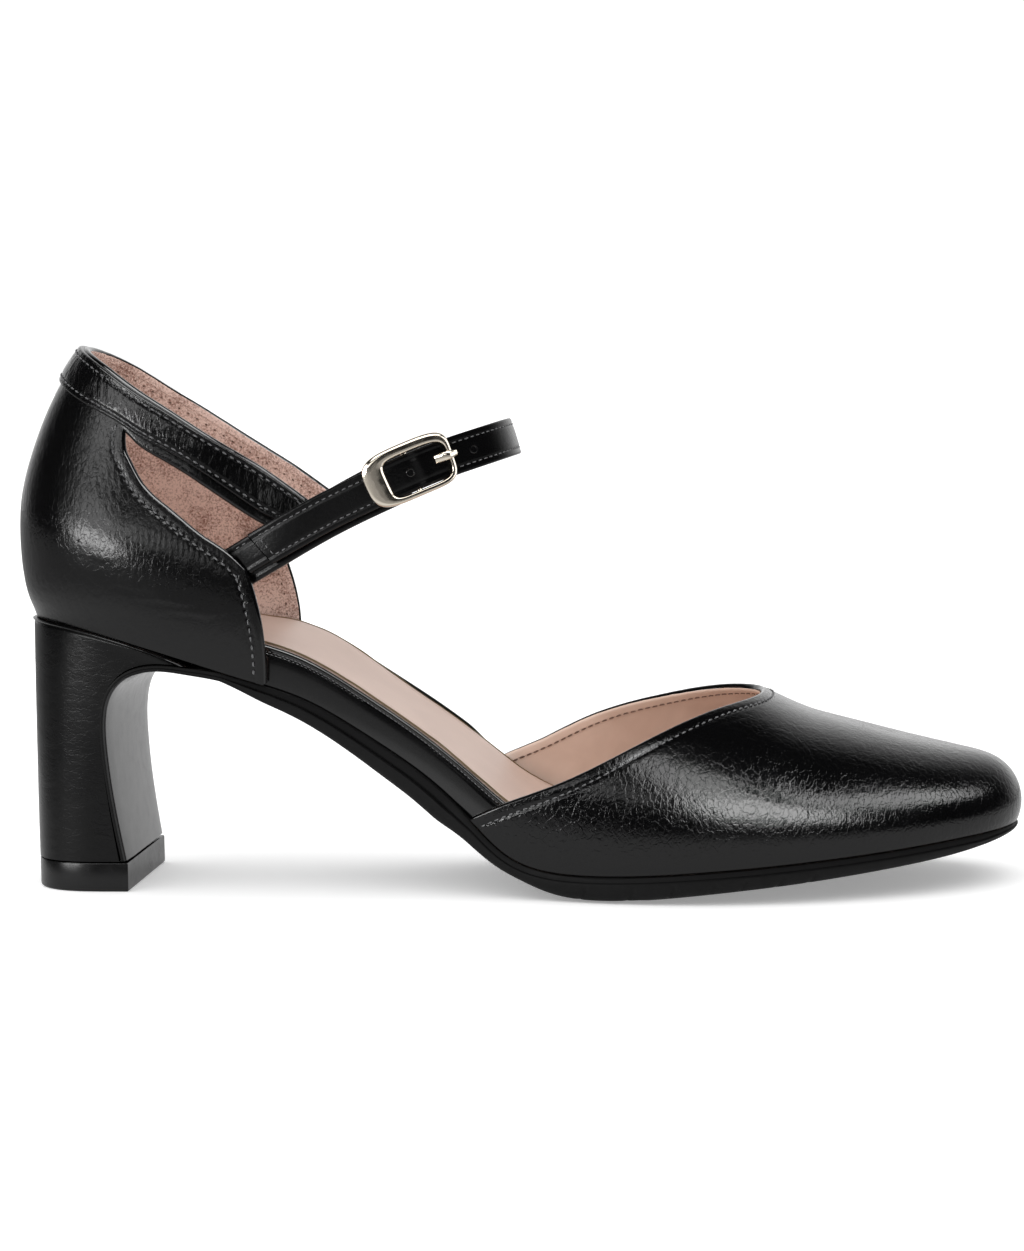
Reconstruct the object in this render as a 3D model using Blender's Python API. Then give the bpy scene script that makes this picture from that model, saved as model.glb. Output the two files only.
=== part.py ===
"""Mary jane pump for the right foot: two-piece leather upper, wrapped block heel, rubber sole, buckled strap.

Sizes are millimetres: x runs from the heel to the toe, y to the inner side of the foot, z up from the floor.
"""
import math

import bmesh
import bpy
import numpy as np

MM = 0.001
ORIGIN = (2.19, 0.48, 0.0)
LATERAL = -1
MEDIAL = 1

# Driving sizes
GAP = 0.3
WALL = 1.9
LIFT_HEIGHT = 7.0
HEEL_BACK_X = -120.5
LIFT_BACK_X = -119.6
LIFT_FRONT_X = -94.6
LIFT_HALF_WIDTH = 21.4
LIFT_ROUND = 20.0
COUNTER_FRONT_X = -60.0
THROAT_X = 57.6
TOE_POLE_X = 82.0
LATERAL_TAIL_X = -11.3
MEDIAL_TAIL_X = -14.7
CROWN_POWER = 2.2
SIDE_BULGE = 1.3
SOLE_LAYERS = 8
SOLE_CROWN = 0.17
FOOTBED_INSET = 2.4
INSOLE_THICK = 1.2
INSOLE_RIM = 0.7
INNER_RISE = 1.4
SEAT_SPREAD = 1.8
BAND_PROUD = 0.8
STRAP_THICK = 1.6
STRAP_HALF = 4.5
TAB_HALF = 5.2
TAB_SHIFT = -0.7
FOLD_HALF = 4.0
FOLD_SHIFT = 0.25
FOLD_X = -64.2
FOLD_SLANT = -0.14
FREE_END_X = -59.4
FREE_END_SLANT = -0.26
BUCKLE_X = -24.0
BUCKLE_RAISE = 0.6


class Table:
    """Rows of named columns, read along the first one by a smooth curve."""

    def __init__(self, names, *rows):
        values = np.array(rows, float).T
        self.keys = values[0]
        self.columns = dict(zip(names.split(), values))

    def read(self, name, at):
        return spline(self.keys, self.columns[name], at)


def spline(keys, values, at):
    """Natural cubic curve through the values at the keys, read at one place or several."""
    last = len(keys) - 1
    step = np.diff(keys)
    system = np.eye(len(keys))
    pull = np.zeros(values.shape)
    for i in range(1, last):
        system[i, i - 1:i + 2] = step[i - 1], 2 * (step[i - 1] + step[i]), step[i]
        pull[i] = 6 * ((values[i + 1] - values[i]) / step[i] - (values[i] - values[i - 1]) / step[i - 1])
    bend = np.linalg.solve(system, pull)
    at = np.clip(at, keys[0], keys[-1])
    k = np.clip(np.searchsorted(keys, at) - 1, 0, last - 1)
    a = (keys[k + 1] - at) / step[k]
    width = step[k]
    if values.ndim == 2:
        a = a[:, None]
        width = width[:, None]
    b = 1 - a
    curve = ((a ** 3 - a) * bend[k] + (b ** 3 - b) * bend[k + 1]) * width ** 2 / 6
    return a * values[k] + b * values[k + 1] + curve


# Feather edge in plan: the line where the upper meets the sole, as half widths to each side
FEATHER = Table(
    "x lateral medial",
    (-118.1, 7.8, 7.8),
    (-112.8, 14.9, 14.9),
    (-104.2, 20.5, 20.5),
    (-91.6, 24.6, 24.6),
    (-76.0, 26.0, 26.0),
    (-60.0, 26.0, 26.0),
    (-40.0, 25.5, 24.7),
    (-20.0, 27.5, 25.4),
    (0.0, 32.0, 28.8),
    (20.0, 37.0, 34.0),
    (36.0, 39.4, 37.6),
    (52.0, 39.2, 38.6),
    (70.0, 35.8, 37.3),
    (90.0, 28.4, 32.8),
    (104.0, 19.8, 26.6),
    (112.5, 12.0, 20.6),
    (116.8, 4.4, 13.6),
)
FEATHER_BACK = (-119.9, 0.0)
FEATHER_TIP = (118.2, 4.8)

# Sole in side view: height of the feather edge, and thickness of the outsole below it
SOLE = Table(
    "x top thick",
    (-121.4, 65.5, 2.0),
    (-110.8, 64.5, 2.0),
    (-99.5, 62.1, 2.0),
    (-89.3, 59.3, 2.0),
    (-77.3, 55.6, 2.0),
    (-68.0, 52.6, 2.7),
    (-60.0, 50.1, 3.9),
    (-51.3, 46.9, 4.8),
    (-37.3, 38.9, 5.6),
    (-28.7, 33.3, 6.2),
    (-21.9, 28.4, 6.3),
    (-15.2, 22.6, 6.1),
    (-11.0, 18.4, 5.5),
    (-3.6, 11.4, 4.6),
    (1.4, 8.7, 4.7),
    (7.0, 7.3, 5.9),
    (15.0, 6.7, 6.9),
    (26.0, 6.9, 6.9),
    (42.5, 8.0, 6.4),
    (65.4, 9.8, 5.8),
    (88.6, 11.8, 5.0),
    (103.0, 13.1, 4.3),
    (112.5, 13.9, 3.0),
    (118.2, 14.4, 1.8),
)

# Breast of the heel in side view, from the top lift up and round into the arch
BREAST = Table(
    "step x z",
    (0, -96.4, 7.3),
    (1, -98.6, 21.0),
    (2, -99.9, 34.0),
    (3, -99.9, 42.0),
    (4, -98.3, 48.2),
    (5, -95.0, 52.2),
    (6, -90.5, 54.3),
    (7, -85.0, 54.9),
    (8, -78.5, 54.3),
)
BREAST_THICK = 1.8
BREAST_CELLS = 14
ARCH_JOIN_X = -70.0
JOIN_RUN = 20.0
HEEL_TIP_X = -77.5

# Thickness of footbed and insole together, along the foot
FOOTBED = Table(
    "x thick",
    (-121.4, 6.5),
    (-100.0, 7.5),
    (-60.0, 10.1),
    (-40.0, 9.9),
    (-28.0, 9.8),
    (-15.0, 10.6),
    (-4.0, 12.2),
    (3.0, 11.3),
    (12.0, 8.6),
    (25.0, 6.2),
    (50.0, 5.2),
    (90.0, 4.6),
    (118.2, 4.2),
)

# Vamp: height and side shift of its ridge, and how square its section is
RIDGE = Table(
    "x height shift power",
    (-15.0, 72.0, 1.0, 2.2),
    (0.0, 66.0, 1.5, 2.2),
    (20.0, 58.5, 2.0, 2.25),
    (40.0, 51.3, 2.5, 2.3),
    (57.6, 45.6, 3.0, 2.4),
    (66.0, 41.6, 3.3, 2.5),
    (78.0, 37.8, 3.8, 2.7),
    (90.0, 34.6, 4.3, 3.0),
    (100.0, 32.6, 4.6, 3.4),
    (108.0, 32.4, 4.8, 3.8),
    (119.6, 36.0, 4.8, 4.2),
)
LATERAL_TOPLINE = Table(
    "x z",
    (-11.3, 18.4),
    (-3.8, 21.8),
    (10.3, 27.3),
    (28.7, 36.4),
    (47.1, 43.8),
    (57.6, 45.6),
)
MEDIAL_TOPLINE = Table(
    "x z",
    (-14.7, 22.4),
    (-6.9, 26.5),
    (0.6, 29.6),
    (10.8, 34.6),
    (21.1, 38.6),
    (31.4, 41.4),
    (41.6, 43.8),
    (51.6, 45.3),
    (57.6, 45.6),
)

# Counter: back line in side view, and swelling of its sides with height above the feather edge
BACK_LINE = Table(
    "z x",
    (50.0, -119.9),
    (58.0, -119.9),
    (65.5, -120.0),
    (69.5, -121.5),
    (74.7, -122.7),
    (80.9, -123.3),
    (86.5, -123.4),
    (93.0, -123.0),
    (99.6, -121.7),
    (106.5, -119.5),
    (113.5, -116.7),
    (120.0, -113.4),
    (126.5, -109.2),
    (130.2, -106.3),
)
SWELL = Table(
    "height share",
    (0.0, 1.0),
    (8.0, 1.075),
    (18.0, 1.115),
    (28.0, 1.077),
    (36.0, 1.0),
    (44.0, 0.93),
    (54.0, 0.877),
    (66.0, 0.846),
)

# Edges of the collar by share of the way from the heel back (0) to the counter's front line (1)
COLLAR = Table(
    "share strip_low band_low topline",
    (0.0, 120.4, 122.3, 130.2),
    (0.25, 114.2, 116.0, 124.9),
    (0.425, 110.2, 111.1, 120.0),
    (0.6, 104.4, 106.1, 114.8),
    (0.73, 100.0, 101.9, 110.4),
    (0.89, 93.4, 95.2, 104.8),
    (1.015, 88.4, 89.9, 100.0),
    (1.16, 84.6, 86.0, 93.4),
)
WINDOW_EDGE = Table(
    "share z",
    (0.425, 110.2),
    (0.452, 105.3),
    (0.531, 98.5),
    (0.6585, 91.6),
    (0.7754, 85.7),
    (0.889, 80.7),
    (0.944, 77.4),
)
CORNER_SHARE = 0.425
NOTCH_SHARE = 0.889
WINDOW_CELLS = 9
INNER_NOTCH_SHARE = NOTCH_SHARE - (NOTCH_SHARE - CORNER_SHARE) / WINDOW_CELLS
EDGE_SHARE = 0.944
STRIP_END_SHARE = 1.16
FRONT_BOW = 0.024
STRIP_TUCK = 1.9

# Strap line round the ankle: place along the foot, half width and height of its middle
STRAP = Table(
    "step x half z",
    (0, -71.0, 25.3, 75.6),
    (1, -63.5, 25.9, 80.1),
    (2, -57.0, 27.0, 83.8),
    (3, -45.0, 28.0, 90.4),
    (4, -30.0, 27.8, 97.4),
    (5, -19.0, 25.4, 102.0),
    (6, -9.8, 19.3, 105.1),
    (7, -4.8, 11.0, 106.7),
)
STRAP_TIP = (-3.2, 0.0, 107.2)
STRAP_LEAN = 0.3
STRAP_INNER_RISE = 2.2


def sole_top(x):
    return SOLE.read("top", x)


def sole_normal(x):
    """Unit vector in side view that points down and away from the foot."""
    slope = sole_top(x + 0.5) - sole_top(x - 0.5)
    size = np.hypot(slope, 1.0)
    return slope / size, -1.0 / size


def ease(share):
    share = np.clip(share, 0.0, 1.0)
    return share * share * (3 - 2 * share)


def along(points, samples):
    """Evenly sampled smooth curve through points, with its chord lengths."""
    points = np.array(points, float)
    chord = np.concatenate([[0], np.cumsum(np.linalg.norm(np.diff(points, axis=0), axis=1))])
    return spline(chord, points, np.linspace(0, chord[-1], samples))


class Feather:
    """Closed feather edge, from the heel back along the outer side, round the toe and back."""

    def __init__(self, samples=900):
        rows = list(zip(FEATHER.keys, FEATHER.columns["lateral"], FEATHER.columns["medial"]))
        outer = [(x, -lateral) for x, lateral, medial in rows]
        inner = [(x, medial) for x, lateral, medial in reversed(rows)]
        loop = [FEATHER_BACK] + outer + [FEATHER_TIP] + inner
        lap = len(loop)
        wrapped = np.array(loop[-4:] + loop + loop[:5])
        chord = np.concatenate([[0], np.cumsum(np.linalg.norm(np.diff(wrapped, axis=0), axis=1))])
        self.points = spline(chord, wrapped, np.linspace(chord[4], chord[4 + lap], samples))
        tangent = np.gradient(self.points, axis=0)
        tangent[0] = tangent[-1] = self.points[1] - self.points[-2]
        tangent /= np.linalg.norm(tangent, axis=1)[:, None]
        self.normals = np.stack([tangent[:, 1], -tangent[:, 0]], 1)
        self.tip = int(np.argmax(self.points[:, 0]))

    def side(self, side):
        """Points and outward normals of one side, from the heel back to the toe tip."""
        if side == LATERAL:
            pick = slice(0, self.tip + 1)
            return self.points[pick], self.normals[pick]
        pick = slice(None, self.tip - 1 if self.tip else None, -1)
        return self.points[pick], self.normals[pick]

    def at(self, side, x):
        """Feather point and outward normal at a place along the foot."""
        points, normals = self.side(side)
        y = np.interp(x, points[:, 0], points[:, 1])
        normal = np.stack([np.interp(x, points[:, 0], normals[:, k]) for k in (0, 1)], -1)
        return np.stack([np.broadcast_to(x, y.shape), y], -1), normal

    def toe(self, count):
        """Evenly spaced points and normals round the toe, in front of the pole."""
        front = np.nonzero(self.points[:, 0] >= TOE_POLE_X)[0]
        pick = np.linspace(front[0], front[-1], count).round().astype(int)
        return self.points[pick], self.normals[pick]

    def heel_shares(self, last, count, first=0.0):
        """Shares from the heel back to the front line that step evenly along the feather edge."""
        points, normals = self.side(LATERAL)
        share = (points[:, 0] - FEATHER_BACK[0]) / (COUNTER_FRONT_X - FEATHER_BACK[0])
        length = np.concatenate([[0], np.cumsum(np.linalg.norm(np.diff(points, axis=0), axis=1))])
        ends = np.interp([first, last], share, length)
        return np.interp(np.linspace(ends[0], ends[1], count), length, share)


EDGE = Feather()


def half_width(side, x):
    return np.abs(EDGE.at(side, x)[0][..., 1])


# Mesh helpers

def new_object(name, mesh, material):
    mesh.materials.append(material)
    part = bpy.data.objects.new(name, mesh)
    bpy.context.scene.collection.objects.link(part)
    part.parent = SHOE
    return part


def finish(name, build, material, sharp=35.0):
    """Turn a bmesh in millimetres into a smooth-shaded object."""
    bmesh.ops.remove_doubles(build, verts=build.verts, dist=0.0005)
    bmesh.ops.dissolve_degenerate(build, edges=build.edges, dist=0.0005)
    bmesh.ops.scale(build, verts=build.verts, vec=(MM, MM, MM))
    mesh = bpy.data.meshes.new(name)
    build.to_mesh(mesh)
    build.free()
    mesh.shade_smooth()
    mesh.set_sharp_from_angle(angle=math.radians(sharp))
    return new_object(name, mesh, material)


def ring_solid(name, rings, material):
    """Closed solid through a stack of rings, with caps of strips from side to side."""
    build = bmesh.new()
    loops = [[build.verts.new(p) for p in ring] for ring in rings]
    count = len(loops[0])
    for low, high in zip(loops, loops[1:]):
        for i in range(count):
            k = (i + 1) % count
            build.faces.new((low[i], low[k], high[k], high[i]))
    for loop in (loops[0], loops[-1]):
        for i in range((count - 1) // 2):
            k = count - 1 - i
            corners = [loop[i], loop[i + 1], loop[k - 1], loop[k]]
            if i + 1 == k - 1:
                corners = [loop[i], loop[i + 1], loop[k]]
            build.faces.new(corners)
    bmesh.ops.recalc_face_normals(build, faces=build.faces)
    return finish(name, build, material)


def tube_solid(name, loops, material):
    """Closed ring-shaped solid: each loop is joined to the next, and the last to the first."""
    build = bmesh.new()
    made = [[build.verts.new(p) for p in loop] for loop in loops]
    count = len(made[0])
    for low, high in zip(made, made[1:] + made[:1]):
        for i in range(count):
            k = (i + 1) % count
            build.faces.new((low[i], low[k], high[k], high[i]))
    bmesh.ops.recalc_face_normals(build, faces=build.faces)
    return finish(name, build, material)


def shell_solid(name, grids, material, wall=WALL):
    """Hollow wall: grids of outer points, joined where they meet, thickened inwards."""
    build = bmesh.new()
    for grid in grids:
        verts = [[build.verts.new(p) for p in column] for column in grid]
        for left, right in zip(verts, verts[1:]):
            for j in range(len(left) - 1):
                build.faces.new((left[j], right[j], right[j + 1], left[j + 1]))
    part = finish(name, build, material)
    thicken = part.modifiers.new("wall", "SOLIDIFY")
    thicken.thickness = wall * MM
    thicken.offset = -1.0
    thicken.use_even_offset = True
    thicken.use_quality_normals = True
    return part


def principled(name, colour, roughness, metallic=0.0):
    material = bpy.data.materials.new(name)
    material.use_nodes = True
    shader = material.node_tree.nodes["Principled BSDF"]
    shader.inputs["Base Color"].default_value = (*colour, 1.0)
    shader.inputs["Roughness"].default_value = roughness
    shader.inputs["Metallic"].default_value = metallic
    material.diffuse_color = (*colour, 1.0)
    return material


# Sole

def sole_stations():
    """Places along the foot where the sole's rings have points, behind the toe."""
    return np.concatenate([
        np.linspace(ARCH_JOIN_X, -22.0, 9),
        np.linspace(-17.0, 24.0, 12),
        np.linspace(31.0, TOE_POLE_X - 5.0, 8),
    ])


def breast_path(samples):
    """Back face of the outsole in side view, from the top lift to where it joins the arch."""
    rows = list(zip(BREAST.columns["x"], BREAST.columns["z"]))
    ahead = [(x, float(sole_top(x)) - GAP) for x in (ARCH_JOIN_X, ARCH_JOIN_X + 6, ARCH_JOIN_X + 12)]
    path = along(rows + ahead, 400)
    path = path[:int(np.argmax(path[:, 0] >= ARCH_JOIN_X))]
    tangent = np.gradient(path, axis=0)
    tangent /= np.linalg.norm(tangent, axis=1)[:, None]
    normal = np.stack([tangent[:, 1], -tangent[:, 0]], 1)
    pick = np.linspace(0, len(path) - 1, samples).round().astype(int)
    return path[pick], normal[pick]


def breast_half(z):
    """Half width of the heel breast: as the lift below, as the feather edge at the arch."""
    return np.interp(z, (LIFT_HEIGHT, 54.0), (LIFT_HALF_WIDTH, 25.6))


def outsole_profile(thick, waist):
    """Side of the outsole from its top edge down: pairs of inset and depth."""
    none = np.zeros(len(thick))
    band_in = 0.3 + 0.9 * waist
    band_deep = np.minimum(1.4 + 0.8 * waist, 0.36 * thick)
    edge_in = np.minimum(1.5 + 1.6 * waist, 0.4 * thick)
    edge_deep = thick * (1.0 - SOLE_CROWN * (1.0 - waist))
    return [
        (band_in + 0.6, none),
        (band_in, 0.12 * thick),
        (band_in, band_deep),
        (none, band_deep + 0.05 * thick),
        (0.1 * edge_in, 0.6 * edge_deep),
        (0.45 * edge_in, 0.86 * edge_deep),
        (edge_in, edge_deep),
        (edge_in + 6.0, thick),
    ]


def waist_share(x):
    """One at the open waist, nothing under the vamp and at the heel."""
    return ease((x + 72.0) / 14.0) * ease((-9.0 - x) / 8.0)


def outsole_side(side, layer, rear, rear_normal, stations):
    """One side's points of one ring, from the top lift to the last station behind the toe."""
    join = ease((rear[:, 0] - ARCH_JOIN_X) / JOIN_RUN + 1.0)
    thick = BREAST_THICK + join * (float(SOLE.read("thick", ARCH_JOIN_X)) - BREAST_THICK)
    inset, depth = outsole_profile(thick, np.zeros(len(rear)))[layer]
    half = breast_half(rear[:, 1])
    flank = side * (half + join * (half_width(side, rear[:, 0]) - half) - inset)
    points = [(x + depth[i] * n[0], flank[i], z + depth[i] * n[1])
              for i, ((x, z), n) in enumerate(zip(rear, rear_normal))]
    place, normal = EDGE.at(side, stations)
    return points + outsole_plan(place, normal, layer)


def outsole_plan(place, normal, layer):
    """Points of one ring over the given feather points."""
    x = place[:, 0]
    inset, depth = outsole_profile(SOLE.read("thick", x), waist_share(x))[layer]
    plan = place - normal * inset[:, None]
    down_x, down_z = sole_normal(plan[:, 0])
    z = np.maximum(sole_top(plan[:, 0]) - GAP + depth * down_z, 0.0)
    return list(zip(plan[:, 0] + depth * down_x, plan[:, 1], z))


def make_outsole():
    rear, rear_normal = breast_path(BREAST_CELLS + 1)
    stations = sole_stations()
    toe, toe_normal = EDGE.toe(17)
    rings = []
    for layer in range(SOLE_LAYERS):
        lateral = outsole_side(LATERAL, layer, rear, rear_normal, stations)
        medial = outsole_side(MEDIAL, layer, rear, rear_normal, stations)
        rings.append(lateral + outsole_plan(toe, toe_normal, layer) + medial[::-1])
    return ring_solid("outsole", rings, principled("rubber_sole", (0.012, 0.012, 0.013), 0.55))


def full_ring(inset, level, drop):
    """Ring round the whole foot: inset from the feather edge, at a share of the height less a drop."""
    share = np.linspace(0.015, 1.0, 13) ** 1.8
    rear = FEATHER_BACK[0] + share * (ARCH_JOIN_X - FEATHER_BACK[0])
    x = np.concatenate([rear[:-1], sole_stations()])
    lateral = lifted(*EDGE.at(LATERAL, x), inset, level, drop, 0.0)
    medial = lifted(*EDGE.at(MEDIAL, x), inset, level, drop, INNER_RISE)
    return lateral + lifted(*EDGE.toe(17), inset, level, drop, 0.0) + medial[::-1]


def lifted(place, normal, inset, level, drop, rise):
    """Points over feather points; they lean out inside the counter and rise along the inner waist."""
    x = place[:, 0]
    spread = level * SEAT_SPREAD * ease((-64.0 - x) / 8.0) * normal[:, 1] ** 2
    plan = place - normal * (inset - spread)[:, None]
    x = plan[:, 0]
    height = FOOTBED.read("thick", x) + rise * waist_share(x)
    return list(zip(x, plan[:, 1], sole_top(x) + level * (height - drop)))


def make_footbed():
    rim = 0.8
    top = INSOLE_THICK + GAP
    rings = [
        full_ring(FOOTBED_INSET, 0.0, top),
        full_ring(FOOTBED_INSET, 0.5, top),
        full_ring(FOOTBED_INSET, 1.0, top + rim),
        full_ring(FOOTBED_INSET + 0.3 * rim, 1.0, top + 0.3 * rim),
        full_ring(FOOTBED_INSET + rim, 1.0, top),
    ]
    return ring_solid("footbed", rings, principled("wrapped_footbed", (0.01, 0.01, 0.011), 0.2))


def make_insole():
    edge = FOOTBED_INSET + INSOLE_RIM
    rings = [
        full_ring(edge, 1.0, INSOLE_THICK),
        full_ring(edge, 1.0, 0.4 * INSOLE_THICK),
        full_ring(edge + 0.5, 1.0, 0.0),
    ]
    return ring_solid("insole", rings, principled("nude_sock", (0.62, 0.46, 0.4), 0.6))


# Heel

def round_back(distance, radius, power=2.8):
    """Half width share of a rounded back, by distance from its rearmost point."""
    share = np.clip(distance / radius, 0.0, 1.0)
    return (1 - (1 - share) ** power) ** (1 / power)


def mirrored(side):
    """Loop from the outer front, round the back, to the inner front, from the inner side's points."""
    return [(x, -y, z) for x, y, z in side[::-1]] + side[1:]


def heel_ring(level, inset, count=13):
    """One loop of the heel: level 0 lies on the top lift, level 1 on the seat under the counter."""
    path, normal = breast_path(300)
    tip = int(np.argmax(path[:, 0] > HEEL_TIP_X))
    path = (path - normal * GAP)[:tip]
    front = path[int(round(level * (len(path) - 1)))]
    back = LIFT_BACK_X + level * (HEEL_BACK_X - LIFT_BACK_X) + inset
    back_z = LIFT_HEIGHT + GAP + level * (float(sole_top(HEEL_BACK_X)) - LIFT_HEIGHT - 2 * GAP)
    front_z = max(front[1], LIFT_HEIGHT + GAP)
    share = np.linspace(0.0, 1.0, count) ** 2
    x = back + share * (front[0] - back)
    straight = back_z + share * (front_z - back_z)
    z = straight + level ** 4 * (1 - share ** 8) * (sole_top(x) - GAP - straight)
    blend = level ** 1.5
    half = (1 - blend) * LIFT_HALF_WIDTH * round_back(x - back, LIFT_ROUND)
    half = half + blend * half_width(LATERAL, FEATHER_BACK[0] + x - back)
    half = np.maximum(half - inset * ease(share / 0.1), 0.0)
    return mirrored(list(zip(x, half, z)))


def make_heel():
    """Stack of loops that follow the outsole's own steps up the breast, rounded in at the seat."""
    path, normal = breast_path(300)
    tip = float(np.argmax(path[:, 0] > HEEL_TIP_X)) / len(path)
    steps = np.arange(BREAST_CELLS) / (BREAST_CELLS * tip)
    levels = [(level, 0.0) for level in steps if level < 0.97] + [(0.985, 0.35), (1.0, 1.1)]
    rings = [heel_ring(level, inset) for level, inset in levels]
    return ring_solid("heel", rings, principled("heel_leather", (0.01, 0.01, 0.011), 0.35))


def lift_ring(z, inset, count=13):
    share = np.linspace(0.0, 1.0, count) ** 2
    back = LIFT_BACK_X + inset
    x = back + share * (LIFT_FRONT_X - inset - back)
    half = (LIFT_HALF_WIDTH - inset) * round_back(x - back, LIFT_ROUND)
    return mirrored(list(zip(x, half, np.full(count, z))))


def make_top_lift():
    rings = [lift_ring(0.0, 0.5), lift_ring(0.5, 0.0), lift_ring(LIFT_HEIGHT, 0.0)]
    return ring_solid("top_lift", rings, principled("rubber_lift", (0.012, 0.012, 0.013), 0.5))


# Vamp

def vamp_rib(base, normal, spine, top_turn, rows):
    """Points up one rib of the vamp, from the feather edge to the topline or the ridge."""
    turn = np.linspace(0.0, 1.0, rows) * top_turn
    power = RIDGE.read("power", base[0])
    reach = np.cos(turn).clip(0.0) ** (2 / power)
    rise = np.sin(turn) ** (2 / CROWN_POWER)
    swell = SIDE_BULGE * 6.75 * rise * (1 - rise) ** 2
    x = spine[0] + (base[0] - spine[0]) * reach + normal[0] * swell
    y = spine[1] + (base[1] - spine[1]) * reach + normal[1] * swell
    low = float(sole_top(base[0]))
    z = low + (RIDGE.read("height", x) - low) * rise
    return list(zip(x, y, z))


def topline_turn(side, x):
    """How far up its rib the topline lies, as an angle up to a quarter turn at the throat."""
    table = LATERAL_TOPLINE if side == LATERAL else MEDIAL_TOPLINE
    low = sole_top(x)
    rise = np.clip((table.read("z", x) - low) / (RIDGE.read("height", x) - low), 0.0, 1.0)
    turn = np.arcsin(rise ** (CROWN_POWER / 2))
    return np.where(x >= THROAT_X, math.pi / 2, turn)


def vamp_side(side, rows, tail_ribs, throat_ribs, ridge_ribs):
    """Ribs of one side, from the tail of the wing to the pole of the toe."""
    tail = LATERAL_TAIL_X if side == LATERAL else MEDIAL_TAIL_X
    near = THROAT_X - 12.0
    closing = near + (THROAT_X - near) * (1 - np.linspace(1.0, 0.0, throat_ribs) ** 2)
    x = np.concatenate([
        np.linspace(tail, near, tail_ribs)[:-1],
        closing,
        np.linspace(THROAT_X, TOE_POLE_X, ridge_ribs)[1:],
    ])
    base, normal = EDGE.at(side, x)
    turns = topline_turn(side, x)
    shift = RIDGE.read("shift", x)
    return [vamp_rib(base[i], normal[i], (x[i], shift[i]), turns[i], rows) for i in range(len(x))]


def vamp_ribs(rows, tail_ribs, throat_ribs, ridge_ribs, toe_ribs):
    lateral = vamp_side(LATERAL, rows, tail_ribs, throat_ribs, ridge_ribs)
    medial = vamp_side(MEDIAL, rows, tail_ribs, throat_ribs, ridge_ribs)
    pole = (TOE_POLE_X, float(RIDGE.read("shift", TOE_POLE_X)))
    toe, toe_normal = EDGE.toe(toe_ribs)
    front = [vamp_rib(p, n, pole, math.pi / 2, rows) for p, n in zip(toe[1:-1], toe_normal[1:-1])]
    return lateral + front + medial[::-1]


def make_vamp():
    ribs = vamp_ribs(rows=10, tail_ribs=13, throat_ribs=6, ridge_ribs=5, toe_ribs=17)
    return shell_solid("vamp", [ribs], principled("vamp_leather", (0.01, 0.01, 0.011), 0.25))


# Counter and collar

def counter_point(share, side, z, proud=0.0):
    """Point on the counter's outer face, by share from the heel back and height."""
    back = BACK_LINE.read("x", z)
    x = back + share * (COUNTER_FRONT_X - back)
    base = FEATHER_BACK[0] + share * (COUNTER_FRONT_X - FEATHER_BACK[0])
    height = z - sole_top(base)
    tuck = STRIP_TUCK * ease((share - 0.72) / 0.28) * ease((height - 30.0) / 8.0)
    half = half_width(side, base) * SWELL.read("share", height) - tuck
    flat = np.array([x, side * half, z], float)
    if proud == 0.0:
        return flat
    ahead = counter_point(share + 0.004, side, z) - counter_point(max(share - 0.004, 0.0), side, z)
    above = counter_point(share, side, z + 0.2) - counter_point(share, side, z - 0.2)
    out = np.cross(above, ahead) * side
    if share == 0.0:
        out[1] = 0.0
    return flat + proud * out / np.linalg.norm(out)


def body_top(share):
    """Upper edge of the counter's body: the window's edge, and behind its corner the collar strip."""
    if share <= CORNER_SHARE:
        return float(COLLAR.read("strip_low", share))
    return float(WINDOW_EDGE.read("z", share))


def body_column(side, share, rows):
    """Points up the counter's body from the feather edge to its upper edge."""
    foot_share = share * (1 + 0.0593 * (share / EDGE_SHARE) ** 3)
    foot_z = float(sole_top(FEATHER_BACK[0] + foot_share * (COUNTER_FRONT_X - FEATHER_BACK[0])))
    column = []
    for t in np.linspace(0.0, 1.0, rows):
        bow = FRONT_BOW * 4 * t * (1 - t) * (share / EDGE_SHARE) ** 6
        at = foot_share + t * (share - foot_share) + bow
        column.append(counter_point(at, side, foot_z + t * (body_top(share) - foot_z)))
    return column


def strip_low(side, share):
    """Lower edge of the collar strip; on the inner side it joins the body as far as the notch."""
    free = float(COLLAR.read("strip_low", share))
    if share <= CORNER_SHARE:
        return free
    if side == LATERAL:
        return free
    if share < INNER_NOTCH_SHARE + 0.001:
        return body_top(share)
    root = body_top(INNER_NOTCH_SHARE)
    return root + (free - root) * float(ease((share - INNER_NOTCH_SHARE) / 0.06))


def strip_column(side, share, rows):
    low = strip_low(side, share)
    high = float(COLLAR.read("topline", share))
    return [counter_point(share, side, low + t * (high - low)) for t in np.linspace(0.0, 1.0, rows)]


def collar_shares(cells_back, cells_front):
    """Shares of the strip's columns, with one at the window's corner and one at the notch."""
    back = EDGE.heel_shares(CORNER_SHARE, cells_back + 1)
    window = np.linspace(CORNER_SHARE, NOTCH_SHARE, WINDOW_CELLS + 1)
    front = np.linspace(NOTCH_SHARE, STRIP_END_SHARE, cells_front + 1)
    return np.concatenate([back, window[1:], front[1:]])


def both_sides(column, shares):
    """Columns from the inner front, round the heel back, to the outer front."""
    medial = [column(MEDIAL, s) for s in shares[::-1]]
    lateral = [column(LATERAL, s) for s in shares[1:]]
    return medial + lateral


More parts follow.
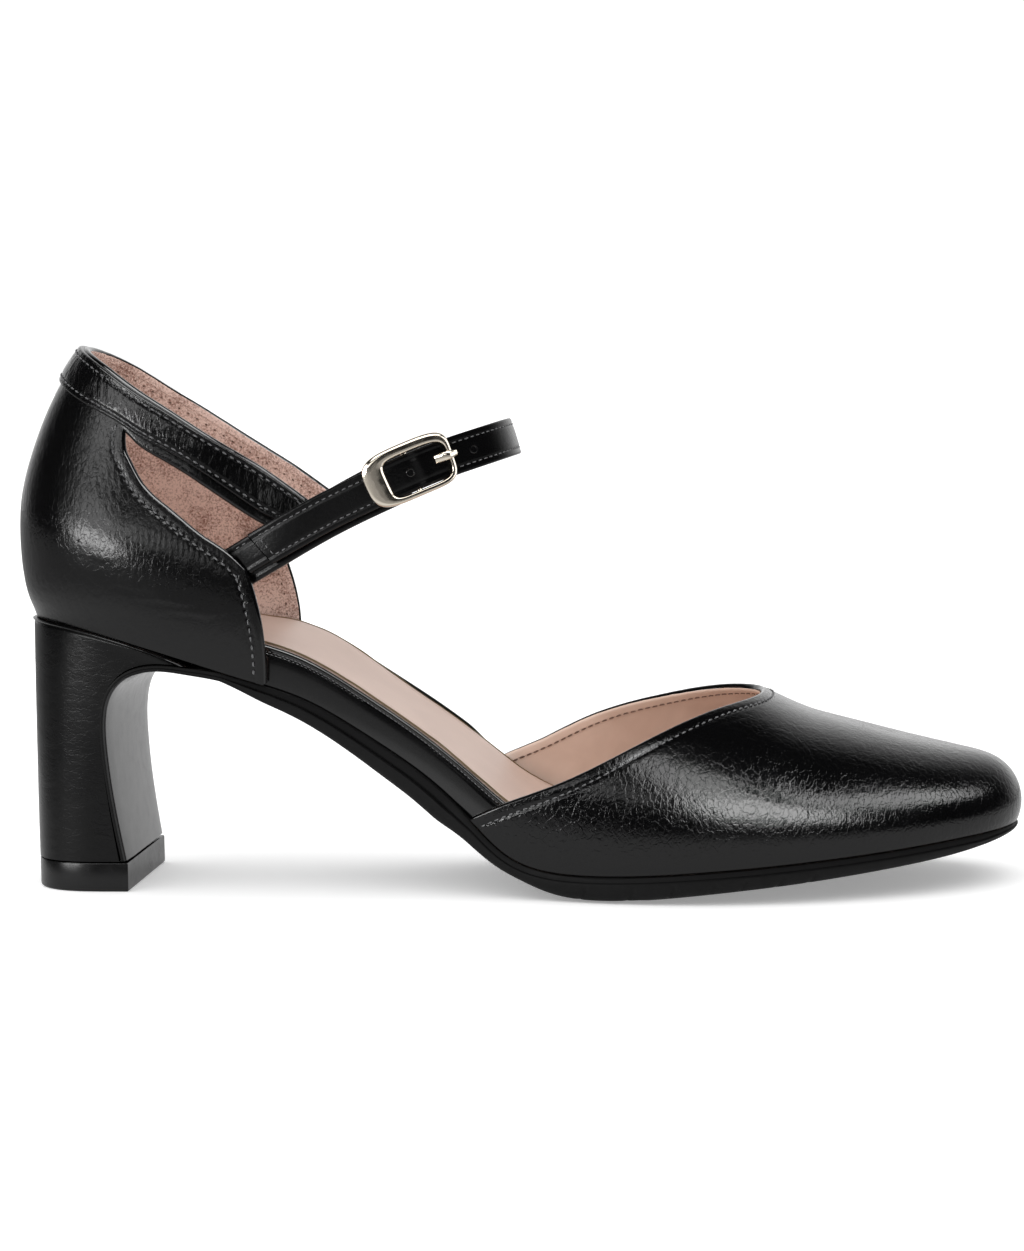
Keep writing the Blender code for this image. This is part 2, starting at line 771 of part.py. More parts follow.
def make_counter():
    body_rows = 9
    strip_rows = 5
    strip_shares = collar_shares(cells_back=9, cells_front=6)
    body_shares = np.concatenate([strip_shares[strip_shares <= NOTCH_SHARE], [EDGE_SHARE]])
    body = both_sides(lambda side, s: body_column(side, s, body_rows), body_shares)
    strip = both_sides(lambda side, s: strip_column(side, s, strip_rows), strip_shares)
    return shell_solid("counter", [body, strip], principled("counter_leather", (0.01, 0.01, 0.011), 0.25))


def make_collar_band():
    shares = collar_shares(cells_back=9, cells_front=5)

    def ring(side, share):
        low = float(COLLAR.read("band_low", share))
        high = float(COLLAR.read("topline", share))
        steps = np.linspace(0.0, 1.0, 4)
        inner = [counter_point(share, side, low + t * (high - low), GAP) for t in steps]
        outer = [counter_point(share, side, low + t * (high - low), GAP + BAND_PROUD) for t in steps]
        return inner + outer[::-1]

    leather = principled("band_leather", (0.01, 0.01, 0.011), 0.25)
    return ring_solid("collar_band", both_sides(ring, shares), leather)


# Strap and buckle

class StrapLine:
    """Frame along the strap: place, direction, upward width and outward normal by length."""

    def __init__(self, samples=600):
        rows = list(zip(STRAP.columns["x"], STRAP.columns["half"], STRAP.columns["z"]))
        lateral = [(x, -half, z) for x, half, z in rows]
        medial = [(x, half, z + STRAP_INNER_RISE * ease((-10.0 - x) / 25.0)) for x, half, z in reversed(rows)]
        self.place = along(lateral + [STRAP_TIP] + medial, samples)
        step = np.gradient(self.place, axis=0)
        length = np.linalg.norm(np.diff(self.place, axis=0), axis=1)
        self.length = np.concatenate([[0], np.cumsum(length)])
        run = step / np.linalg.norm(step, axis=1)[:, None]
        flat = np.hypot(run[:, 0], run[:, 1])
        out = np.stack([run[:, 1] / flat, -run[:, 0] / flat, STRAP_LEAN * np.abs(run[:, 1])], 1)
        out -= run * np.sum(out * run, axis=1)[:, None]
        self.out = out / np.linalg.norm(out, axis=1)[:, None]
        self.wide = np.cross(self.out, run)

    def at_x(self, x):
        """Length along the strap of a place on its outer branch."""
        half = len(self.place) // 2
        return float(np.interp(x, self.place[:half, 0], self.length[:half]))

    def point(self, s, w, n):
        """Point at length s, w up across the strap and n out from its line."""
        parts = []
        for field in (self.place, self.wide, self.out):
            parts.append(np.array([np.interp(s, self.length, field[:, k]) for k in range(3)]))
        return parts[0] + w * parts[1] + n * parts[2]


LINE = StrapLine()


def strap_section(half, low, high, soft=0.35):
    """Corners of a flat strip's section, with softened edges: pairs of width and height."""
    return [(-half, low + soft), (-half + soft, low), (half - soft, low), (half, low + soft),
            (half, high - soft), (half - soft, high), (-half + soft, high), (-half, high - soft)]


def strip_solid(name, span, half, shift, slants, level, count):
    """Flat strip along the strap line, moved sideways by a shift; both its ends may be cut at a slant."""
    rings = []
    for t in np.linspace(0.0, 1.0, count):
        ring = []
        for w, n in strap_section(half, 0.0, STRAP_THICK):
            cut = slants[0] * (1 - t) ** 6 + slants[1] * t ** 6
            s = span[0] + t * (span[1] - span[0]) + cut * w
            ring.append(LINE.point(s, w + shift, n + level(s)))
        rings.append(ring)
    return ring_solid(name, rings, principled(name + "_leather", (0.01, 0.01, 0.011), 0.25))


def make_strap_tab():
    span = (0.0, LINE.at_x(BUCKLE_X) - BAR_HALF - 1.0)
    return strip_solid("strap_tab", span, TAB_HALF, TAB_SHIFT, (0.0, 0.0), lambda s: -STRAP_THICK, 15)


def make_strap_fold():
    """Folded piece from the counter's front edge to the strap's free end."""
    span = (LINE.at_x(FOLD_X), LINE.at_x(FREE_END_X) - GAP)
    slants = (FOLD_SLANT, FREE_END_SLANT)
    return strip_solid("strap_fold", span, FOLD_HALF, FOLD_SHIFT, slants, lambda s: GAP, 5)


def make_ankle_strap():
    span = (LINE.at_x(FREE_END_X), LINE.length[-1])
    turn_from = LINE.at_x(-8.0)

    def level(s):
        return GAP - (GAP + STRAP_THICK) * float(ease((s - turn_from) / 60.0))

    return strip_solid("ankle_strap", span, STRAP_HALF, 0.0, (FREE_END_SLANT, 0.0), level, 46)


BUCKLE_LOW = GAP + STRAP_THICK + GAP
BUCKLE_HIGH = BUCKLE_LOW + 1.5
BUCKLE_HALF_LONG = 11.3
BUCKLE_HALF_HIGH = 6.6
PLATE_POWER = 2.7
FRAME_POWER = 3.4
OPENING_CENTRE = 0.9
OPENING_HALF_LONG = 7.8
OPENING_HALF_HIGH = 5.4
OPENING_POWER = 3.4
BAR_HALF = 0.8
PRONG_HALF_WIDE = 1.0
PRONG_HALF_THICK = 0.55


def squared(angle, half_long, half_high, power):
    """Point on a rounded rectangle or ellipse, by angle and squareness."""
    c = math.cos(angle)
    s = math.sin(angle)
    return (half_long * math.copysign(abs(c) ** (2 / power), c),
            half_high * math.copysign(abs(s) ** (2 / power), s))


def buckle_loops(count=40):
    """Loops of the buckle's frame: its left end is a half-round plate, its right end a squared bar."""
    middle = LINE.at_x(BUCKLE_X)
    outer = []
    inner = []
    for i in range(count):
        angle = 2 * math.pi * (i + 0.5) / count
        power = FRAME_POWER if math.cos(angle) > 0 else PLATE_POWER
        outer.append(squared(angle, BUCKLE_HALF_LONG, BUCKLE_HALF_HIGH, power))
        u, w = squared(angle, OPENING_HALF_LONG, OPENING_HALF_HIGH, OPENING_POWER)
        inner.append((u + OPENING_CENTRE, w))
    layers = ((0.0, BUCKLE_LOW + 0.5), (0.0, BUCKLE_HIGH - 0.5), (0.3, BUCKLE_HIGH),
              (0.7, BUCKLE_HIGH), (1.0, BUCKLE_HIGH - 0.5), (1.0, BUCKLE_LOW + 0.2), (0.5, BUCKLE_LOW))
    loops = []
    for share, n in layers:
        flat = [np.array(o) + share * (np.array(i) - np.array(o)) for o, i in zip(outer, inner)]
        loops.append([LINE.point(middle + s, w + BUCKLE_RAISE, n) for s, w in flat])
    return loops


def make_buckle():
    gold = principled("pale_gold", (0.78, 0.64, 0.42), 0.2, 1.0)
    frame = tube_solid("buckle", buckle_loops(), gold)
    middle = LINE.at_x(BUCKLE_X)
    post = OPENING_HALF_HIGH + 0.1
    edge = BUCKLE_HALF_HIGH - 0.4
    low = -STRAP_THICK
    high = BUCKLE_LOW + 0.6
    profile = [(-edge, high), (-post, high), (-post, 0.0), (post, 0.0),
               (post, high), (edge, high), (edge, low), (-edge, low)]
    build = bmesh.new()
    ends = [[build.verts.new(LINE.point(middle + s, w + BUCKLE_RAISE, n)) for w, n in profile]
            for s in (-BAR_HALF, BAR_HALF)]
    build.faces.new(ends[0])
    build.faces.new(ends[1][::-1])
    for i in range(len(profile)):
        k = (i + 1) % len(profile)
        build.faces.new((ends[0][k], ends[0][i], ends[1][i], ends[1][k]))
    bmesh.ops.recalc_face_normals(build, faces=build.faces)
    bar = finish("centre_bar", build, gold)
    bar.hide_render = True
    bar.display_type = "WIRE"
    join = frame.modifiers.new("centre_bar", "BOOLEAN")
    join.operation = "UNION"
    join.solver = "EXACT"
    join.object = bar
    return frame


def make_prong():
    middle = LINE.at_x(BUCKLE_X)
    rest = BUCKLE_HIGH + GAP
    steps = Table("s n", (4.2, BUCKLE_LOW), (5.9, BUCKLE_LOW + 0.5), (7.9, rest), (9.6, rest), (10.9, rest))
    sides = 8
    rings = []
    for s in np.linspace(steps.keys[0], steps.keys[-1], 9):
        n = float(steps.read("n", s)) + PRONG_HALF_THICK
        ring = []
        for k in range(sides):
            angle = 2 * math.pi * k / sides
            wide = PRONG_HALF_WIDE * math.cos(angle) + BUCKLE_RAISE
            ring.append(LINE.point(middle + s, wide, n + PRONG_HALF_THICK * math.sin(angle)))
        rings.append(ring)
    return ring_solid("buckle_prong", rings, principled("prong_gold", (0.78, 0.64, 0.42), 0.2, 1.0))


for old in list(bpy.data.objects):
    bpy.data.objects.remove(old, do_unlink=True)

SHOE = bpy.data.objects.new("shoe", None)
SHOE.location = [value * MM for value in ORIGIN]
bpy.context.scene.collection.objects.link(SHOE)

make_outsole()
make_footbed()
make_insole()
make_heel()
make_top_lift()
make_vamp()
make_counter()
make_collar_band()
make_strap_tab()
make_strap_fold()
make_ankle_strap()
make_buckle()
make_prong()
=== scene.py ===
"""Mary jane pump for the right foot: leather, linings, stitching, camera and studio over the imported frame.

Sizes are millimetres: x runs from the heel to the toe, y to the inner side of the foot, z up from the floor.
"""

import math
from collections import namedtuple

import bmesh
import bpy
import numpy as np
from mathutils import Matrix, Vector
from mathutils.bvhtree import BVHTree
from mathutils.kdtree import KDTree


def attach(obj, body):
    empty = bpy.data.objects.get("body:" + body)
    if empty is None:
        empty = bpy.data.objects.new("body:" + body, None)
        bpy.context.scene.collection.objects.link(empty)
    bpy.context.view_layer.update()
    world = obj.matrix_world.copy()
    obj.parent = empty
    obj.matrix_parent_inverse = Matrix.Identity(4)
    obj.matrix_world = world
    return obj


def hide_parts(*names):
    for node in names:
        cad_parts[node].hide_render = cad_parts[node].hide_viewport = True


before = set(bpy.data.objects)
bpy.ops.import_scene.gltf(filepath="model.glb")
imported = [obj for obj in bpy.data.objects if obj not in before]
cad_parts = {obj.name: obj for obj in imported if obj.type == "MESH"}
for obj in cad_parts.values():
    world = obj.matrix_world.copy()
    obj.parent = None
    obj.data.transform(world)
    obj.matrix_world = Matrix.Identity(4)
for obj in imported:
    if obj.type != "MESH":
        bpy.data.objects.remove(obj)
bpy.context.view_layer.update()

MM = 0.001
ORIGIN = np.array((2.19, 0.48, 0.0))
LATERAL = -1
MEDIAL = 1

# Driving sizes, as in the part
GAP = 0.3
WALL = 1.9
LIFT_HEIGHT = 7.0
HEEL_BACK_X = -120.5
LIFT_BACK_X = -119.6
LIFT_FRONT_X = -94.6
LIFT_HALF_WIDTH = 21.4
LIFT_ROUND = 20.0
COUNTER_FRONT_X = -60.0
THROAT_X = 57.6
LATERAL_TAIL_X = -11.3
MEDIAL_TAIL_X = -14.7
CROWN_POWER = 2.2
SIDE_BULGE = 1.3
SOLE_CROWN = 0.17
FOOTBED_INSET = 2.4
INSOLE_THICK = 1.2
INSOLE_RIM = 0.7
INNER_RISE = 1.4
INSOLE_DIP = 0.95
DIP_FROM_X = -52.0
DIP_RUN = 26.0
SEAT_SPREAD = 1.8
BAND_PROUD = 0.8
STRAP_THICK = 1.6
STRAP_HALF = 4.5
TAB_HALF = 5.2
TAB_SHIFT = -0.7
FOLD_HALF = 4.0
FOLD_SHIFT = 0.25
FOLD_X = -64.2
FOLD_SLANT = -0.14
FREE_END_X = -59.4
FREE_END_SLANT = -0.26
BUCKLE_X = -24.0
BUCKLE_RAISE = 0.6
BREAST_THICK = 1.8
ARCH_JOIN_X = -70.0
JOIN_RUN = 20.0
HEEL_TIP_X = -77.5
BREAST_TO_X = -80.0
CORNER_SHARE = 0.425
INNER_NOTCH_SHARE = 0.889
EDGE_SHARE = 0.944
STRIP_END_SHARE = 1.16
INNER_END_FROM = 1.04
INNER_END_LIFT = 1.2
FRONT_BOW = 0.024
STRIP_TUCK = 1.9
STRAP_TIP = (-3.2, 0.0, 107.2)
STRAP_LEAN = 0.3
STRAP_INNER_RISE = 2.2
SPINE_FROM = 58.0
SPINE_RUN = 32.0


class Curve:
    """Natural cubic curve through values at keys, read at one place or several."""

    def __init__(self, keys, values):
        self.keys = np.array(keys, float)
        self.values = np.array(values, float)
        self.step = np.diff(self.keys)
        system = np.eye(len(self.keys))
        pull = np.zeros(self.values.shape)
        for i in range(1, len(self.keys) - 1):
            left = self.step[i - 1]
            right = self.step[i]
            system[i, i - 1:i + 2] = left, 2 * (left + right), right
            rise = (self.values[i + 1] - self.values[i]) / right
            pull[i] = 6 * (rise - (self.values[i] - self.values[i - 1]) / left)
        self.bend = np.linalg.solve(system, pull)

    def __call__(self, at):
        at = np.clip(at, self.keys[0], self.keys[-1])
        k = np.clip(np.searchsorted(self.keys, at) - 1, 0, len(self.step) - 1)
        width = self.step[k]
        a = (self.keys[k + 1] - at) / width
        if self.values.ndim == 2:
            a = a[..., None]
            width = width[..., None]
        b = 1 - a
        curve = ((a ** 3 - a) * self.bend[k] + (b ** 3 - b) * self.bend[k + 1]) * width ** 2 / 6
        return a * self.values[k] + b * self.values[k + 1] + curve


class Table:
    """Rows of named columns, read along the first one by a smooth curve."""

    def __init__(self, names, *rows):
        values = np.array(rows, float).T
        self.columns = dict(zip(names.split(), values))
        self.curves = {name: Curve(values[0], column) for name, column in self.columns.items()}

    def read(self, name, at):
        return self.curves[name](at)


# Feather edge in plan: the line where the upper meets the sole, as half widths to each side
FEATHER = Table(
    "x lateral medial",
    (-118.1, 7.8, 7.8),
    (-112.8, 14.9, 14.9),
    (-104.2, 20.5, 20.5),
    (-91.6, 24.6, 24.6),
    (-76.0, 26.0, 26.0),
    (-60.0, 26.0, 26.0),
    (-40.0, 25.5, 24.7),
    (-20.0, 27.5, 25.4),
    (0.0, 32.0, 28.8),
    (20.0, 37.0, 34.0),
    (36.0, 39.4, 37.6),
    (52.0, 39.2, 38.6),
    (70.0, 35.8, 37.3),
    (90.0, 28.4, 32.8),
    (104.0, 19.8, 26.6),
    (112.5, 12.0, 20.6),
    (116.8, 4.4, 13.6),
)
FEATHER_BACK = (-119.9, 0.0)
FEATHER_TIP = (118.2, 4.8)

# Sole in side view: height of the feather edge, and thickness of the outsole below it
SOLE = Table(
    "x top thick",
    (-121.4, 65.5, 2.0),
    (-110.8, 64.5, 2.0),
    (-99.5, 62.1, 2.0),
    (-89.3, 59.3, 2.0),
    (-77.3, 55.6, 2.0),
    (-68.0, 52.6, 2.7),
    (-60.0, 50.1, 3.9),
    (-51.3, 46.9, 4.8),
    (-37.3, 38.9, 5.6),
    (-28.7, 33.3, 6.2),
    (-21.9, 28.4, 6.3),
    (-15.2, 22.6, 6.1),
    (-11.0, 18.4, 5.5),
    (-3.6, 11.4, 4.6),
    (1.4, 8.7, 4.7),
    (7.0, 7.3, 5.9),
    (15.0, 6.7, 6.9),
    (26.0, 6.9, 6.9),
    (42.5, 8.0, 6.4),
    (65.4, 9.8, 5.8),
    (88.6, 11.8, 5.0),
    (103.0, 13.1, 4.3),
    (112.5, 13.9, 3.0),
    (118.2, 14.4, 1.8),
)

# Breast of the heel in side view, from the top lift up and round into the arch
BREAST = Table(
    "step x z",
    (0, -96.4, 7.3),
    (1, -98.6, 21.0),
    (2, -99.9, 34.0),
    (3, -99.9, 42.0),
    (4, -98.3, 48.2),
    (5, -95.0, 52.2),
    (6, -90.5, 54.3),
    (7, -85.0, 54.9),
    (8, -78.5, 54.3),
)

# Thickness of footbed and insole together, along the foot
FOOTBED = Table(
    "x thick",
    (-121.4, 6.5),
    (-100.0, 7.5),
    (-60.0, 10.1),
    (-40.0, 9.9),
    (-28.0, 9.8),
    (-15.0, 10.6),
    (-4.0, 12.2),
    (3.0, 11.3),
    (12.0, 8.6),
    (25.0, 6.2),
    (50.0, 5.2),
    (90.0, 4.6),
    (118.2, 4.2),
)

# Vamp: height and side shift of its ridge, and how square its section is
RIDGE = Table(
    "x height shift power",
    (-15.0, 72.0, 1.0, 2.2),
    (0.0, 66.0, 1.5, 2.2),
    (20.0, 58.5, 2.0, 2.25),
    (40.0, 51.3, 2.5, 2.3),
    (57.6, 45.6, 3.0, 2.4),
    (66.0, 41.6, 3.3, 2.5),
    (78.0, 37.8, 3.8, 2.7),
    (90.0, 34.6, 4.3, 3.0),
    (100.0, 32.6, 4.6, 3.4),
    (108.0, 32.4, 4.8, 3.8),
    (119.6, 36.0, 4.8, 4.2),
)
LATERAL_TOPLINE = Table(
    "x z",
    (-11.3, 18.4),
    (-3.8, 21.8),
    (10.3, 27.3),
    (28.7, 36.4),
    (47.1, 43.8),
    (57.6, 45.6),
)
MEDIAL_TOPLINE = Table(
    "x z",
    (-14.7, 22.4),
    (-6.9, 26.5),
    (0.6, 29.6),
    (10.8, 34.6),
    (21.1, 38.6),
    (31.4, 41.4),
    (41.6, 43.8),
    (51.6, 45.3),
    (57.6, 45.6),
)

# Counter: back line in side view, and swelling of its sides with height above the feather edge
BACK_LINE = Table(
    "z x",
    (50.0, -119.9),
    (58.0, -119.9),
    (65.5, -120.0),
    (69.5, -121.5),
    (74.7, -122.7),
    (80.9, -123.3),
    (86.5, -123.4),
    (93.0, -123.0),
    (99.6, -121.7),
    (106.5, -119.5),
    (113.5, -116.7),
    (120.0, -113.4),
    (126.5, -109.2),
    (130.2, -106.3),
)
SWELL = Table(
    "height share",
    (0.0, 1.0),
    (8.0, 1.075),
    (18.0, 1.115),
    (28.0, 1.077),
    (36.0, 1.0),
    (44.0, 0.93),
    (54.0, 0.877),
    (66.0, 0.846),
)

# Edges of the collar by share of the way from the heel back (0) to the counter's front line (1)
COLLAR = Table(
    "share strip_low band_low topline",
    (0.0, 120.4, 122.3, 130.2),
    (0.25, 114.2, 116.0, 124.9),
    (0.425, 111.2, 111.5, 120.0),
    (0.5, 107.8, 109.0, 117.8),
    (0.6, 104.4, 106.1, 114.8),
    (0.73, 100.0, 101.9, 110.4),
    (0.89, 93.4, 95.2, 104.8),
    (1.015, 88.4, 89.9, 100.0),
    (1.16, 84.6, 86.0, 93.4),
)
WINDOW_EDGE = Table(
    "share z",
    (0.425, 111.2),
    (0.436, 107.6),
    (0.458, 104.6),
    (0.531, 98.5),
    (0.6585, 91.6),
    (0.7754, 85.7),
    (0.889, 80.7),
    (0.944, 77.4),
)

# Strap line round the ankle: place along the foot, half width and height of its middle
STRAP = Table(
    "step x half z",
    (0, -71.0, 25.3, 75.6),
    (1, -63.5, 25.9, 80.1),
    (2, -57.0, 27.0, 83.8),
    (3, -45.0, 28.0, 90.4),
    (4, -30.0, 27.8, 97.4),
    (5, -19.0, 25.4, 102.0),
    (6, -9.8, 19.3, 105.1),
    (7, -4.8, 11.0, 106.7),
)


def sole_top(x):
    return SOLE.read("top", x)


def sole_normal(x):
    """Unit vector in side view that points down and away from the foot."""
    slope = sole_top(x + 0.5) - sole_top(x - 0.5)
    size = np.hypot(slope, 1.0)
    return slope / size, -1.0 / size


def ease(share):
    share = np.clip(share, 0.0, 1.0)
    return share * share * (3 - 2 * share)


def lengths(points):
    """Running length along a line of points."""
    return np.concatenate([[0.0], np.cumsum(np.linalg.norm(np.diff(points, axis=0), axis=1))])


def unit(vectors):
    return vectors / np.maximum(np.linalg.norm(vectors, axis=-1, keepdims=True), 1e-9)


def between(at, keys, rows):
    """Rows of numbers, read at places between their keys."""
    return np.stack([np.interp(at, keys, rows[:, k]) for k in range(rows.shape[1])], -1)


def along(points, samples):
    """Evenly sampled smooth curve through points."""
    points = np.array(points, float)
    chord = lengths(points)
    return Curve(chord, points)(np.linspace(0, chord[-1], samples))


class Feather:
    """Closed feather edge, from the heel back along the outer side, round the toe and back."""

    def __init__(self, samples=3600):
        rows = list(zip(*(FEATHER.columns[name] for name in ("x", "lateral", "medial"))))
        outer = [(x, -lateral) for x, lateral, medial in rows]
        inner = [(x, medial) for x, lateral, medial in reversed(rows)]
        loop = [FEATHER_BACK] + outer + [FEATHER_TIP] + inner
        wrapped = np.array(loop[-4:] + loop + loop[:5])
        chord = lengths(wrapped)
        self.points = Curve(chord, wrapped)(np.linspace(chord[4], chord[4 + len(loop)], samples))
        tangent = np.gradient(self.points, axis=0)
        tangent[0] = tangent[-1] = self.points[1] - self.points[-2]
        tangent = unit(tangent)
        self.normals = np.stack([tangent[:, 1], -tangent[:, 0]], 1)
        self.tip = int(np.argmax(self.points[:, 0]))

    def side(self, side):
        """Points and outward normals of one side, from the heel back to the toe tip."""
        if side == LATERAL:
            pick = slice(0, self.tip + 1)
        else:
            pick = slice(None, self.tip - 1, -1)
        return self.points[pick], self.normals[pick]

    def at(self, side, x):
        """Feather point and outward normal at a place along the foot."""
        points, normals = self.side(side)
        y = np.interp(x, points[:, 0], points[:, 1])
        return np.stack([np.broadcast_to(x, y.shape), y], -1), between(x, points[:, 0], normals)

    def heel_shares(self, last, count):
        """Shares from the heel back that step evenly along the feather edge."""
        points = self.side(LATERAL)[0]
        share = (points[:, 0] - FEATHER_BACK[0]) / (COUNTER_FRONT_X - FEATHER_BACK[0])
        length = lengths(points)
        end = np.interp(last, share, length)
        return np.interp(np.linspace(0.0, end, count), length, share)


EDGE = Feather()


# Noise for the leather's crinkles, the same in each run

LATTICE_SIZE = 64
LATTICE_SHIFT = 31.7
LATTICE = np.random.default_rng(11).random((LATTICE_SIZE, LATTICE_SIZE, LATTICE_SIZE))
BEND_SCALE = 0.12
BEND_REACH = 3.0
FINE_SCALE = 2.1
CREST_MIDDLE = 0.6
CREST_GAIN = 1.3
FINE_GAIN = 0.5
CREASE_WANDER = 0.8
CREASE_WANDER_SCALE = 0.2


def noise(points, scale):
    """Smooth noise from 0 to 1 at points, with a wave of about one over the scale."""
    at = np.asarray(points) * scale + LATTICE_SHIFT
    low = np.floor(at).astype(int)
    part = ease(at - low)
    total = 0.0
    for corner in np.ndindex(2, 2, 2):
        weight = np.prod(np.where(corner, part, 1 - part), axis=-1)
        cell = np.moveaxis((low + corner) % LATTICE_SIZE, -1, 0)
        total = total + weight * LATTICE[tuple(cell)]
    return total


def crests(points, scale):
    """Noise folded into sharp crests."""
    return 1 - np.abs(2 * noise(points, scale) - 1) - CREST_MIDDLE


def crinkle(points, scale):
    """Sharp-crested wrinkles from -1 to 1, bent by a slower noise."""
    bend = noise(points[..., [1, 2, 0]], BEND_SCALE) - 0.5
    moved = points + BEND_REACH * bend[..., None]
    fine = crests(moved[..., [2, 0, 1]], scale[[2, 0, 1]] * FINE_SCALE)
    return CREST_GAIN * crests(moved, scale) + FINE_GAIN * fine


def hill(distance, width):
    return np.exp(-(distance / width) ** 2)


def creases(points, table):
    """Soft troughs with a ridge beside each, drawn as straight lines in side view."""
    flat = points[:, [0, 2]]
    wander = CREASE_WANDER * (noise(points, CREASE_WANDER_SCALE) - 0.5)
    total = np.zeros(len(points))
    for x, z, end_x, end_z, width, depth in table:
        run = np.array((end_x - x, end_z - z))
        from_start = flat - (x, z)
        t = from_start @ run / (run @ run)
        away = from_start @ np.array((-run[1], run[0])) / np.linalg.norm(run) + wander
        fade = ease(3 * t) * ease(3 * (1 - t))
        ridge = 0.7 * hill(away - 1.7 * width, width)
        total += depth * fade * (ridge - hill(away, width))
    return total


def nearest(points, targets):
    """Distance from each point to the nearest of the targets."""
    tree = KDTree(len(targets))
    for k, place in enumerate(targets):
        tree.insert(place, k)
    tree.balance()
    return np.array([tree.find(point)[2] for point in points])


def on_line(path, places):
    """Points at running lengths along a line."""
    return between(places, lengths(path), path)


# Mesh helpers: distances under which points are joined and thin faces dropped, in metres and in millimetres

PIECE_WELD = 2e-6
PIECE_SLIVER = 1e-6
SHEET_WELD = 0.01
SHEET_SLIVER = 0.002


def clean(build, weld, sliver):
    """Joins points that meet and drops faces without area."""
    bmesh.ops.remove_doubles(build, verts=build.verts, dist=weld)
    bmesh.ops.dissolve_degenerate(build, edges=build.edges, dist=sliver)


def piece(name, points, faces, material, nodes=(), closed=True, sharp=None):
    """Smooth-shaded object from points in millimetres; it rides on the shoe and may stand for nodes."""
    build = bmesh.new()
    verts = [build.verts.new(p) for p in (np.asarray(points, float) + ORIGIN) * MM]
    for face in faces:
        build.faces.new([verts[k] for k in face])
    clean(build, PIECE_WELD, PIECE_SLIVER)
    if closed:
        bmesh.ops.recalc_face_normals(build, faces=build.faces)
    return settle(name, build, material, nodes, sharp)


def settle(name, build, material, nodes, sharp=None):
    """Object from a finished mesh, with its material, body and the nodes it stands for."""
    mesh = bpy.data.meshes.new(name)
    build.to_mesh(mesh)
    build.free()
    mesh.shade_smooth()
    if sharp:
        mesh.set_sharp_from_angle(angle=math.radians(sharp))
    mesh.materials.append(material)
    part = bpy.data.objects.new(name, mesh)
    bpy.context.scene.collection.objects.link(part)
    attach(part, "root")
    if nodes:
        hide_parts(*nodes)
    return part


def ring_faces(count, size, wrap=False):
    """Quads between closed rings of equal size; wrap joins the last ring to the first."""
    faces = []
    for i in range(count if wrap else count - 1):
        low = i * size
        high = (i + 1) % count * size
        faces += [(low + k, low + (k + 1) % size, high + (k + 1) % size, high + k) for k in range(size)]
    return faces


def cap_faces(start, size):
    """Strips from side to side that close a ring."""
    faces = []
    for i in range((size - 1) // 2):
        k = size - 1 - i
        if i + 1 == k - 1:
            faces.append((start + i, start + i + 1, start + k))
        else:
            faces.append((start + i, start + i + 1, start + k - 1, start + k))
    return faces


def stack(name, rings, material, nodes=(), sharp=40.0):
    """Closed solid through a stack of rings."""
    rings = np.array(rings, float)
    count, size = rings.shape[:2]
    faces = ring_faces(count, size) + cap_faces(0, size) + cap_faces((count - 1) * size, size)
    return piece(name, rings.reshape(-1, 3), faces, material, nodes, sharp=sharp)


def turned(path, normals, radius, sides):
    """Rings of a round section along a path."""
    run = unit(np.gradient(path, axis=0))
    across = unit(np.cross(normals, run))
    up = np.cross(run, across)
    angle = np.linspace(0, 2 * math.pi, sides, endpoint=False)[None, :, None]
    size = np.broadcast_to(radius, len(path))[:, None, None]
    return path[:, None] + size * (np.cos(angle) * across[:, None] + np.sin(angle) * up[:, None])


def add_rings(points, faces, rings, caps):
    """Adds a stack of rings to lists of points and faces, closed at the rings that are named as caps."""
    count, size = rings.shape[:2]
    low = len(points)
    points += list(rings.reshape(-1, 3))
    faces += [tuple(low + k for k in face) for face in ring_faces(count, size)]
    faces += [tuple(range(low + ring * size, low + (ring + 1) * size)) for ring in caps]


Seam = namedtuple("Seam", "pitch length radius")
STITCH_RINGS = 7
STITCH_SIDES = 8


def stitches(name, runs, seam, material):
    """Row of sewn stitches along runs of points and normals, as one piece."""
    points = []
    faces = []
    t = np.linspace(0, 1, STITCH_RINGS)
    arch = np.sqrt(np.sin(math.pi * t))
    for path, normals in runs:
        chord = lengths(path)
        for start in np.arange(0.5 * (seam.pitch - seam.length), chord[-1] - seam.length, seam.pitch):
            s = start + t * seam.length
            up = unit(between(s, chord, normals))
            middle = on_line(path, s) + up * (seam.radius * (1.1 * arch - 0.75))[:, None]
            rings = turned(middle, up, seam.radius * (0.35 + 0.65 * arch), STITCH_SIDES)
            add_rings(points, faces, rings, (0, STITCH_RINGS - 1))
    return piece(name, points, faces, material)


def quads(build, left, right):
    """New faces between two columns of vertices."""
    return [build.faces.new((left[j], right[j], right[j + 1], left[j + 1])) for j in range(len(left) - 1)]


def sheet(grids):
    """Mesh over grids of points, joined where they meet."""
    build = bmesh.new()
    for grid in grids:
        verts = [[build.verts.new(p) for p in column] for column in grid]
        for left, right in zip(verts, verts[1:]):
            quads(build, left, right)
    clean(build, SHEET_WELD, SHEET_SLIVER)
    build.normal_update()
    return build


# Sewn leather: share and width of the furrow and the needle holes, and the puff beside the edge
FURROW_SHARE = 0.4
FURROW_WIDTH = 0.55
HOLE_SHARE = 0.8
HOLE_WIDTH = 0.5
PUFF = 0.03
PUFF_INSET = 1.1
PUFF_WIDTH = 0.6
ROLL_ANGLES = np.radians((30, 60, 90, 120, 150, 180))
ROLL_BULGE = 0.7
FLAP_SINK = 0.06


